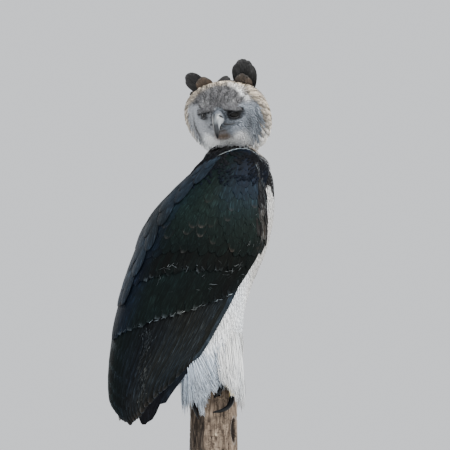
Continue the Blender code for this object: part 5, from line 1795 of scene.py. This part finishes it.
def grow_loose_barbs(coat):
    median = along(MEDIAN_TIPS, np.linspace(-34, 63, 30))[0] - 0.002
    spot = np.concatenate([
        pairs(draw(-0.6, 1.1, 30), median),
        drawn(14, (0.75, 1.25), (0.3, 0.42)),
        drawn(16, (-0.6, 1.1), (0.2, 0.3)),
    ])
    tip = spot + draw(-1, 1, spot.shape) * (0.11, 0.012)
    half_width = draw(0.0002, 0.0005, len(spot))
    bow = draw(-0.007, 0.007, len(spot))
    coat.wisps(spot, tip, half_width, (0.0000, 0.0024), FRAY_PALE * 0.3, 0.8, bow)


EDGE_VANE = Vane(FIRM, round_from=0.5, tip=0.15)
for side, side_name in SIDES:
    coat = TiledCoat(wing_surface(side), -side)
    for step in (
        grow_flight_feathers, grow_coverts, grow_small_coverts, grow_scapulars, grow_worn_edge,
        grow_frayed_line, grow_pale_line, grow_streak, grow_loose_barbs,
    ):
        step(coat)
    coat.make(f"wing_{side_name}_feathers", wing_slate, "slate_feather")

# %% [markdown]
# Without an arm one would see between the feathers to the sky. So a dark, downy form fills the upper wing
# from inside, a little below the coverts, and stands for the wing's solid.

# %% Arms
ARM_TOP, ARM_LOW = 0.54, 0.16
for side, side_name in SIDES:
    angles = np.radians(np.linspace(-88, 88, 40))
    inward = points_of(-np.sin(angles), -side * np.cos(angles), 0)
    rings = []
    for height in np.linspace(ARM_TOP, ARM_LOW, 28):
        share = (ARM_TOP - height) / (ARM_TOP - ARM_LOW)
        spot, out, _, _ = surface_frame(wing_surface(side), angles, np.full(40, height))
        depth = min(0.034 * (1 - share**3) + 0.012 * share**3, 0.7 * along(WING, height)[1])
        outer = spot + out * side * (0.006 + 0.014 * ramp(0.31 - height, 0.0, 0.07))
        rings.append(np.concatenate([outer, (outer + inward * depth)[::-1]]))
    arm = placed(f"wing_{side_name}_arm", closed_grid("bed", np.array(rings)))
    arm_finish = Finish(
        f"wing_{side_name}_down", Base_Color=(*(WING_DEEP * 1.2), 1), Specular_IOR_Level=0.1
    )
    fluff = arm_finish.noise(500.0)
    arm_finish.feed(Roughness=0.6 + fluff * 0.3)
    arm_finish.bump(fluff, 0.0005)
    arm.data.materials.append(arm_finish.material)
    settle(arm, (f"wing_{side_name}",))

# %% [markdown]
# Small feathers run from the neck over each shoulder and hide where the wing begins. They bridge the gap
# as bent vanes from the neck's surface to the wing's.

# %% Shoulders
for side, side_name in SIDES:
    cape = TiledCoat(wing_surface(side), -side)
    count = 230
    share = draw(0, 1, count)
    row = np.sort(draw(0, 1, count))
    start_angle = side * (math.pi * 0.5) + side * (share - 0.5) * -2.4
    root = neck_surface(start_angle, 0.52 + 0.045 * row) - (0, 0, 0.002)
    tip_angle = np.radians(-75 + 150 * share) + draw(-0.05, 0.05, count)
    tip_height = 0.462 + 0.078 * row + draw(-0.014, 0.01, count)
    tip = cape.surface(tip_angle, tip_height) + (0, side * 0.0015, 0)
    control = (root + tip) / 2 + (0, side * 0.004, 0.01)
    across = np.cross(unit(tip - root), unit(np.array((0, side, 0.8))))
    points = bent_vanes(root, control, tip, across, 0.0085, SMALL_VANE, crown=0.06)
    # The lower rows blend into the wing's painted bluish sheen.
    tone = blended(BLACK * 1.3, WING_BLUE * 0.6, ramp(0.75 - row, 0.0, 0.6))
    cape.tile(points, SMALL_VANE, tone, tip=SCAPULAR, tip_from=0.9, tip_share=0.05, vary=0.08)
    cape.make(f"shoulder_{side_name}_feathers", wing_slate, "black_feather")

# %% [markdown]
# Between the wings the back is tiled with broad slate feathers in staggered rows, each with a paler worn
# rim.

# %% Back
mantle = TiledCoat(mantle_surface, -1, 24)
roots = rows_over(-0.072, 0.072, np.arange(0.545, 0.225, -0.017), 0.0155, jitter=0.15)
tips = roots + pairs(roots[:, 0] * 0.1, np.full(len(roots), -0.048))
points = mantle.lay(roots, tips, 0.0115, (-0.004, 0.0052), COVERT_VANE, crown=0.1)
mantle.tile(
    points, COVERT_VANE, SLATE, rim=SCAPULAR, rim_share=0.7, rim_from=0.8, tip=SCAPULAR * 1.4,
    tip_from=0.9, tip_share=0.6, vary=0.15,
)
mantle.make("back_feathers", wing_slate, "slate_feather")

# %% [markdown]
# Twelve feathers fold into a narrow stack, black with broad grey bands. The bands follow the height, so
# those of neighbours meet. Small dark coverts hide the tail's root.

# %% Tail
TAIL_ROWS = np.concatenate([np.linspace(0, 0.9, 30), (0.94, 0.97, 0.99, 1.0)])
TAIL_VANE = Vane((TAIL_ROWS, FIRM_COLUMNS), full=0.3, round_from=0.9, tip=0.2)
TAIL_BLACK = np.array((0.005, 0.005, 0.006))
TAIL_GREY = np.array((0.1, 0.097, 0.092))
BAND_SPACING = 0.085
tail = TiledCoat(tail_surface, -1)
share = np.linspace(-1, 1, 12)
level = -0.005 - 0.0016 * (np.abs(share) * 5.5)
root, tip = pairs(share * 0.48, np.full(12, 0.215)), pairs(share * 0.62, TAIL_TIP + 0.016 * share**2)
points = tail.lay(root, tip, 0.0175, (level, level), TAIL_VANE, crown=0.05)
tints = shaded(TAIL_BLACK, 12, TAIL_VANE, tip=TAIL_GREY * 1.6, tip_from=0.965, tip_share=0.9)
height = points[..., 2] - PERCH_TOP + 0.006 * np.sin(points[..., 1] * 160)
bands = ramp(np.sin((height + 0.076) / BAND_SPACING * 2 * math.pi - 1.9), 0.15, 0.5)
tints = blended(tints, TAIL_GREY * draw(0.85, 1.15, (12, 1, 1, 1)), bands * 0.85)
tail.add(points, tints, pairs(np.arange(12) % 4, np.arange(12) // 4) / 4 + 0.01, patch=0.23)
roots = rows_over(-0.9, 0.9, np.arange(0.285, 0.2, -0.016), 0.42, jitter=0.15)
count = len(roots)
points = tail.lay(roots, roots + (0, -0.055), 0.0115, (-0.004, 0.003), COVERT_VANE, crown=0.1)
tail.grow(
    points, COVERT_VANE, SLATE, pairs(np.arange(count) / count, np.full(count, 0.95)), patch=0.02,
    rim=SCAPULAR, rim_share=0.6, tip=TAIL_GREY * 1.5, tip_from=0.9, tip_share=0.7,
)
tail.make("tail_feathers", tail_grey, "tail_feather", ("tail",))

# %% [markdown]
# The eye is large and deep set, a dark brown-grey iris round the pupil. The ball is painted by its angle
# from the eye's axis, and a clear coat on it stands for the wet cornea.

# %% Eyeballs
IRIS_EDGE, PUPIL_EDGE = 0.66, 0.36
eye_finish = Finish(
    "eye_wet", Roughness=0.15, Coat_Weight=0.12, Coat_Roughness=0.03, Specular_IOR_Level=0.05
)
eye_finish.feed(Base_Color=eye_finish.tint())


def eyeball(side, side_name):
    axis, across, up = eye_axes(side)
    p, a = np.meshgrid(np.linspace(0.0, math.pi, 61)[1:-1], ring_of(64), indexing="ij")
    sideways = across * np.cos(a)[..., None] + up * np.sin(a)[..., None]
    direction = axis * np.cos(p)[..., None] + sideways * np.sin(p)[..., None]
    bulge = 1 + 0.045 * ramp(0.75 - p, 0.0, 0.35)
    points = EYE_SPOT * (1, side, 1) + direction * EYE_RADIUS * 0.985 * bulge[..., None]
    mesh = closed_grid(f"eye_{side_name}_ball", from_head(points))
    angle = np.concatenate([p.ravel(), (0.0, math.pi)])
    fibres = 1 + 0.3 * np.sin(np.concatenate([a.ravel(), (0, 0)]) * 37) * np.sin(angle * 9)
    tint_points(mesh, painted(
        fibres[:, None] * (0.008, 0.0075, 0.0075),
        ((0.002, 0.002, 0.002), ramp(PUPIL_EDGE - angle, -0.03, 0.03)),
        ((0.004, 0.004, 0.004), ramp(angle, IRIS_EDGE - 0.05, IRIS_EDGE + 0.05)),
    ))
    mesh.materials.append(eye_finish.material)
    settle(placed(f"eye_{side_name}_ball", mesh), (f"eye_{side_name}",))


print("the pupil ends at", PUPIL_EDGE, "and the iris at", IRIS_EDGE, "radians from the axis")

# %% [markdown]
# A rim of dark wrinkled skin surrounds each eye and hides where the feathers stop. It is a closed tube
# round the opening, pressed to the ball.

# %% Lids
lid_finish = Finish("lid_skin", Roughness=0.55, Specular_IOR_Level=0.2)
wrinkles = lid_finish.noise(900.0, 3.0)
lid_finish.feed(Base_Color=lid_finish.mix(wrinkles, (0.006, 0.0065, 0.008), (0.024, 0.025, 0.029)))
lid_finish.bump(wrinkles, 0.0004)
LID_STEPS, LID_AROUND = 72, 12


def lids(side, side_name):
    axis, across, up = eye_axes(side)
    wide, above, under = EYE_OPENING[side]
    wide = wide * 0.8
    rings = []
    for turn in ring_of(LID_STEPS):
        c, s = math.cos(turn), math.sin(turn)
        tall = above * 0.68 if s > 0 else under * 0.84
        flat = across * (wide * c) + up * (tall * s)
        lens = unit(axis * math.sqrt(max(EYE_RADIUS**2 - flat @ flat, 1e-6)) + flat)
        outward = unit(across * c / wide + up * s / tall)
        outward = unit(outward - lens * (outward @ lens))
        centre = EYE_SPOT * (1, side, 1) + lens * (EYE_RADIUS + 0.0008) + outward * 0.0012
        section = ring_of(LID_AROUND)[:, None]
        rings.append(centre + outward * (0.0022 * np.cos(section)) + lens * (0.0016 * np.sin(section)))
    faces = []
    for k in range(LID_STEPS):
        one, two = k * LID_AROUND, (k + 1) % LID_STEPS * LID_AROUND
        for q in range(LID_AROUND):
            after = (q + 1) % LID_AROUND
            faces.append((one + q, one + after, two + after, two + q))
    mesh = bpy.data.meshes.new(f"lids_{side_name}")
    mesh.from_pydata([tuple(c) for c in from_head(np.concatenate(rings))], [], faces)
    mesh.shade_smooth()
    mesh.materials.append(lid_finish.material)
    settle(placed(f"lids_{side_name}", mesh))


for side, side_name in SIDES:
    eyeball(side, side_name)
    lids(side, side_name)

# %% [markdown]
# A deep, narrow hook of blue-grey horn, with a softer, darker cere where the nostrils open. It is drawn
# through a few sections, like the body, and each nostril is a slanted pit.

# %% Shape of the bill
# x and z of the section's centre in the head's frame, half height, half width
UPPER_BILL = [
    (0.05, 0.003, 0.0165, 0.011),
    (0.068, 0.003, 0.0172, 0.0165),
    (0.081, 0.0008, 0.016, 0.015),
    (0.092, -0.0045, 0.014, 0.0112),
    (0.0988, -0.013, 0.0114, 0.0082),
    (0.1018, -0.0225, 0.0086, 0.0062),
    (0.1024, -0.0315, 0.0058, 0.0045),
    (0.1014, -0.0385, 0.0031, 0.003),
    (0.1, -0.0435, 0.0008, 0.0008),
]
LOWER_BILL = [
    (0.048, -0.0225, 0.0062, 0.02),
    (0.06, -0.0228, 0.0064, 0.0165),
    (0.072, -0.0235, 0.006, 0.0128),
    (0.08, -0.025, 0.0046, 0.008),
    (0.085, -0.026, 0.0014, 0.0025),
]
NOSTRIL_SPOT, NOSTRIL_LEAN = np.array((0.086, 0.015, 0.0058)), math.radians(50)


def bill_points(sections, rows, around=72):
    """The bill's surface as rings, and how near each point is to the ridge, from -1 to 1."""
    stations = [(i, *section) for i, section in enumerate(sections)]
    x, z, tall, wide = along(stations, np.linspace(0, len(sections) - 1, rows))
    ahead = unit(pairs(np.gradient(x), np.gradient(z)))
    c, s = np.cos(ring_of(around))[None, :], np.sin(ring_of(around))[None, :]
    width = wide[:, None] * (1 - 0.18 * s) * c
    rise = tall[:, None] * s
    x, z = x[:, None] - ahead[:, 1:] * rise, z[:, None] + ahead[:, :1] * rise
    return points_of(x, width, z), np.broadcast_to(s, width.shape)


def nostrils(points):
    """Presses both nostrils into the cere, and says how deep each point has gone."""
    deepest = np.zeros(points.shape[:2])
    for side, _ in SIDES:
        off = points - NOSTRIL_SPOT * (1, side, 1)
        run = off[..., 0] * math.cos(NOSTRIL_LEAN) + off[..., 2] * math.sin(NOSTRIL_LEAN)
        cross = -off[..., 0] * math.sin(NOSTRIL_LEAN) + off[..., 2] * math.cos(NOSTRIL_LEAN)
        slit = np.exp(-((run / 0.005) ** 2) - (cross / 0.0023) ** 2)
        slit = slit * (np.sign(points[..., 1]) == side)
        points[..., 1] -= side * 0.0035 * slit
        deepest = np.maximum(deepest, slit)
    return deepest


print("the hook's point is", -UPPER_BILL[-1][1], "m below the bill's axis")

# %% [markdown]
# Horn grows in layers, which show as faint streaks, and it shines softly. Its colours follow the ridge,
# the height and the edge of the cere, and the far side lies in shade.

# %% Finish of the bill
def bill_tints(points, ridge):
    x, y, z = np.moveaxis(points, -1, 0)
    ridge_share = ramp(ridge + 0.9 * ramp(-z, 0.0, 0.032), 0.42, 0.8)
    ridge_share = ridge_share * (0.5 + 0.47 * ramp(-z, -0.002, 0.01))
    colour = painted(
        (0.24, 0.26, 0.275),
        ((0.012, 0.014, 0.018), ridge_share),
        ((0.006, 0.0065, 0.008), ramp(-z, 0.012, 0.034)),
    )
    colour = colour * (1 - 0.88 * ramp(-y, 0.0, 0.004))[..., None]
    edge = 0.0835 + 0.55 * np.clip(z, -0.006, 0.012)
    return blended(colour, (0.085, 0.096, 0.112), ramp(edge - x, 0.0, 0.003))


bill_finish = Finish("bill_horn", Coat_Weight=0.08, Coat_Roughness=0.25, Specular_IOR_Level=0.25)
layers = bill_finish.grain((420, 420, 90), 3.0)
horn = bill_finish.toned(bill_finish.tint(), 0.7 + layers * 0.6)
bill_finish.feed(Base_Color=horn, Roughness=0.26 + layers * 0.2)
bill_finish.bump(layers, 0.0002)
for part, sections, rows in (("upper", UPPER_BILL, 90), ("lower", LOWER_BILL, 40)):
    points, ridge = bill_points(sections, rows)
    dark = nostrils(points) if part == "upper" else np.zeros(ridge.shape)
    # The nostril pits are painted near black by their depth, as painted shade inside them.
    tints = blended(bill_tints(points, ridge), (0.004, 0.004, 0.004), ramp(dark, 0.1, 0.45))
    bill = tinted_form(f"bill_{part}_horn", from_head(points), tints, bill_finish)
    settle(bill, (f"bill_{part}",))

# %% [markdown]
# The solids of the feet are a few flat-sided tubes, so a copy is remeshed finely and smoothed, and the
# claws are subdivided into polished horn. A pattern of cells makes the yellow scales.

# %% Feet and claws
toe_finish = Finish("toe_scales", Roughness=0.5)
cells = toe_finish.add(
    "ShaderNodeTexVoronoi", {"feature": "DISTANCE_TO_EDGE"}, {"Vector": toe_finish.place(), "Scale": 330.0}
)
scales = toe_finish.mix(cells.between(0.02, 0.12), (0.2, 0.14, 0.05), (0.6, 0.46, 0.14))
toe_finish.feed(Base_Color=scales)
toe_finish.bump(cells.between(0.0, 0.15), 0.0006)

claw_finish = Finish("claw_horn", Coat_Weight=0.12, Coat_Roughness=0.1, Specular_IOR_Level=0.1)
streaks = claw_finish.noise(300.0, 3.0)
claw_finish.feed(
    Base_Color=claw_finish.mix(streaks, (0.0012, 0.0015, 0.002), (0.004, 0.005, 0.0065)),
    Roughness=0.22 + streaks * 0.2,
)


def copy_of(node, name):
    piece = placed(name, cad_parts[node].data.copy())
    piece.data.materials.clear()
    return piece


for side_name in ("right", "left"):
    foot = copy_of(f"foot_{side_name}", f"toes_{side_name}")
    melted(foot, 0.0011, 6)
    foot.data.materials.append(toe_finish.material)
    settle(foot, (f"foot_{side_name}",))
    for toe in ("inner", "middle", "outer", "hind"):
        claw = copy_of(f"claw_{side_name}_{toe}", f"talon_{side_name}_{toe}")
        weld = claw.modifiers.new("weld", "WELD")
        weld.merge_threshold = 0.00005
        rounder = claw.modifiers.new("rounder", "SUBSURF")
        rounder.levels = rounder.render_levels = 2
        fuller = claw.modifiers.new("fuller", "DISPLACE")
        fuller.strength = 0.0002 if toe == "hind" else 0.0014
        fuller.mid_level = 0.0
        applied(claw)
        claw.data.shade_smooth()
        claw.data.materials.append(claw_finish.material)
        settle(claw, (f"claw_{side_name}_{toe}",))

# %% [markdown]
# The perch is the broken top of a dead trunk, without bark. Sun and rain have opened its grain into
# furrows and pits, with a dark slab and a knot hollow. Smooth random fields, long in height and short
# round the trunk, cut them.

# %% Trunk's shape
TRUNK_LOW, TRUNK_FLARE = 0.085, 0.003
AROUND, LEVELS = 320, 190


def field(angle, height, turns, levels):
    """A smooth random field round the trunk, between -1 and 1, with this many waves each way."""
    grid = draw(-1, 1, (levels + 2, turns))
    a = (angle % (2 * math.pi)) / (2 * math.pi) * turns
    h = np.clip(height, 0, 1) * levels
    i, j = np.floor(a).astype(int), np.floor(h).astype(int)
    u, v = ramp(a - i), ramp(h - j)
    low = grid[j, i % turns] * (1 - u) + grid[j, (i + 1) % turns] * u
    high = grid[j + 1, i % turns] * (1 - u) + grid[j + 1, (i + 1) % turns] * u
    return low * (1 - v) + high * v


def off_angle(degrees):
    """How far round each point is from a direction."""
    return (angle - math.radians(degrees) + math.pi) % (2 * math.pi) - math.pi


def oval(degrees, wide, level, tall):
    """0 in the middle of an oval on the trunk and 1 on its edge."""
    return (off_angle(degrees) / wide) ** 2 + ((share - level) / tall) ** 2


angle, share = np.meshgrid(ring_of(AROUND), np.linspace(0, 1, LEVELS), indexing="xy")
slab = ramp(off_angle(207), -0.75, -0.6) * (1 - ramp(off_angle(207), 0.52, 0.62))
furrows = field(angle, share, 46, 5)
grain = field(angle, share, 130, 14)
pits = ramp(field(angle, share, 60, 46), 0.45, 0.8)
big_pits = ramp(field(angle, share, 26, 16), 0.4, 0.8)
low_half = 1 - 0.75 * ramp(share, 0.62, 0.85)
knot, cavity = oval(-34, 0.21, 0.535, 0.15), oval(-82, 0.17, 0.975, 0.055)
cut = 0.0011 * np.minimum(furrows, 0.2) * (1 + 1.8 * slab) + 0.0005 * grain
cut -= (0.0016 * pits + 0.001 * big_pits) * (1 - slab) * low_half
cut -= 0.0075 * (1 - ramp(knot, 0.5, 1.0)) - 0.0016 * bump_at(knot, 1.25, 0.4)
cut -= 0.007 * (1 - ramp(cavity, 0.3, 1.0))
radius = TRUNK_RADIUS + TRUNK_FLARE * (1 - share)
radius += 0.002 * np.sin(2 * angle + 1.1) + 0.001 * np.sin(3 * angle + 3.0 * share)
radius -= 0.006 * bump_at(off_angle(222), 0.0, 0.13)
radius += cut
half_way = np.full(AROUND, 0.5)
rim = field(angle[-1], half_way, 40, 2) * 0.0035 + field(angle[-1], half_way, 11, 2) * 0.004
height = TRUNK_LOW + (PERCH_TOP - 0.0045 - TRUNK_LOW) * share + (rim - 0.0035) * share**12
points = points_of(radius * np.cos(angle), radius * np.sin(angle), height)
print("the trunk's radius:", radius.min().round(4), "to", radius.max().round(4), "m")

# %% [markdown]
# Worn grain is pale and the slab is dark. Cuts are painted darker the deeper they go, as painted shade in
# the pits, furrows, knot hollow and cavity. A grey ring surrounds the knot, and fresh splinters show
# yellow. Five rings close the broken top.

# %% Trunk's colours and top
worn = ramp(grain + 0.5 * furrows, -0.9, 1.0)
splinters = 1 - ramp(oval(-92, 0.1, 0.47, 0.03), 0.3, 1.0)
wood = painted(
    blended((0.085, 0.062, 0.046), (0.26, 0.2, 0.15), worn),
    ((0.022, 0.017, 0.014), slab * (0.9 - 0.35 * worn)),
    ((0.55, 0.52, 0.48), bump_at(off_angle(189), 0.0, 0.05) * 0.9),
    # Painted shade: the deeper a cut, the darker its wood.
    ((0.014, 0.01, 0.008), ramp(-cut, 0.0012, 0.004)),
    ((0.3, 0.29, 0.28), bump_at(knot, 1.15, 0.18) * 0.35),
    ((0.6, 0.5, 0.36), splinters * ramp(grain, 0.0, 0.3)),
)
edge, top = points[-1], []
for reach in (0.94, 0.82, 0.66, 0.45, 0.22):
    ring_rise = 0.004 * (1 - reach) + 0.0016 * field(angle[-1], np.full(AROUND, reach), 40, 9)
    ring = edge * (reach, reach, 1)
    ring[:, 2] = PERCH_TOP - 0.0035 + ring_rise + (edge[:, 2] - PERCH_TOP + 0.0045) * (reach - 0.2)
    top.append(np.minimum(ring, (1, 1, PERCH_TOP + 0.0008)))
top_wood = np.array((0.1, 0.08, 0.06)) * draw(0.5, 1.5, (5, AROUND, 1))

wood_finish = Finish("weathered_wood", Specular_IOR_Level=0.15)
fibre = wood_finish.grain((900, 900, 60), 4.0)
speck = wood_finish.noise(420.0, 3.0)
trail = 1 - abs(wood_finish.noise(190.0, 1.0) - 0.5).between(0.01, 0.05)
trail = trail * wood_finish.noise(38.0, 1.0).between(0.46, 0.6)
wood_tone = (0.2 + fibre * 0.68 + speck * 0.44) * (1 - trail * 0.6)
wood_finish.feed(
    Base_Color=wood_finish.toned(wood_finish.tint(), wood_tone), Roughness=0.75 + fibre * 0.2
)
wood_finish.bump(fibre + speck * 0.6 - trail * 0.5, 0.0009)
trunk = tinted_form(
    "trunk", np.concatenate([points, np.array(top)]), np.concatenate([wood, top_wood]), wood_finish
)
settle(trunk, ("perch_trunk",))

# %% [markdown]
# The trunk stands on a turned wooden base with a steel rod, as museum mounts do. Their solids are right
# as they are, so they only get finishes.

# %% Stand
base_finish = Finish("stand_walnut", Coat_Weight=0.25, Coat_Roughness=0.25)
rings_tone = base_finish.grain((8, 90, 8), 3.0).between(0.3, 0.7)
pores = base_finish.grain((60, 1400, 60)).between(0.55, 0.75)
walnut = base_finish.mix(rings_tone, (0.04, 0.022, 0.013), (0.105, 0.06, 0.034))
walnut = base_finish.mix(pores * 0.6, walnut, (0.015, 0.009, 0.006))
base_finish.feed(Base_Color=walnut, Roughness=0.34 + pores * 0.3)
base_finish.bump(1 - pores, 0.0002)
rod_finish = Finish("stand_steel", Metallic=1.0)
brush = rod_finish.grain((40, 40, 1800))
steel = rod_finish.mix(brush, (0.34, 0.35, 0.36), (0.55, 0.56, 0.57))
rod_finish.feed(Base_Color=steel, Roughness=0.28 + brush * 0.2)
rod_finish.bump(brush, 0.00005)
for node, finish in (("stand_base", base_finish), ("stand_rod", rod_finish)):
    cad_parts[node].data.materials.clear()
    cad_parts[node].data.materials.append(finish.material)
print("stand finished")

# %% [markdown]
# A pale floor and large soft lamps let the plumage's tones speak. The key light comes from the upper
# right, as in the photo, and weaker ones fill in.

# %% Studio
CHEST = Vector((0.0, 0.0, PERCH_TOP + 0.35))
FLOOR_HALF = 6.0


def lamp(name, place, size, power, colour=(1, 1, 1)):
    light = bpy.data.lights.new(name, "AREA")
    light.shape = "SQUARE"
    light.size = size
    light.energy = power
    light.color = colour
    item = placed(name, light)
    item.location = place
    item.rotation_euler = (CHEST - Vector(place)).to_track_quat("-Z", "Y").to_euler()


lamp("key", (2.0, -2.1, 3.0), 1.2, 330, (1.0, 0.98, 0.95))
lamp("fill", (-2.6, -2.0, 1.2), 2.2, 45, (0.92, 0.96, 1.0))
lamp("rim", (1.2, 2.6, 2.2), 1.5, 110, (0.95, 0.98, 1.0))
lamp("back", (-2.2, 1.8, 1.6), 1.6, 60)

world = bpy.data.worlds.new("studio")
bpy.context.scene.world = world
world.use_nodes = True
sky = world.node_tree.nodes["Background"]
sky.inputs["Color"].default_value = (0.8, 0.82, 0.85, 1)
sky.inputs["Strength"].default_value = 1.15

corners = [(x * FLOOR_HALF, y * FLOOR_HALF, 0) for x, y in ((-1, -1), (1, -1), (1, 1), (-1, 1))]
floor_mesh = bpy.data.meshes.new("floor")
floor_mesh.from_pydata(corners, [], [(0, 1, 2, 3)])
floor = placed("floor", floor_mesh)
floor_finish = Finish("floor_paint", Base_Color=(0.7, 0.7, 0.69, 1), Roughness=0.8)
floor_mesh.materials.append(floor_finish.material)
print("lamps:", len(bpy.data.lights))
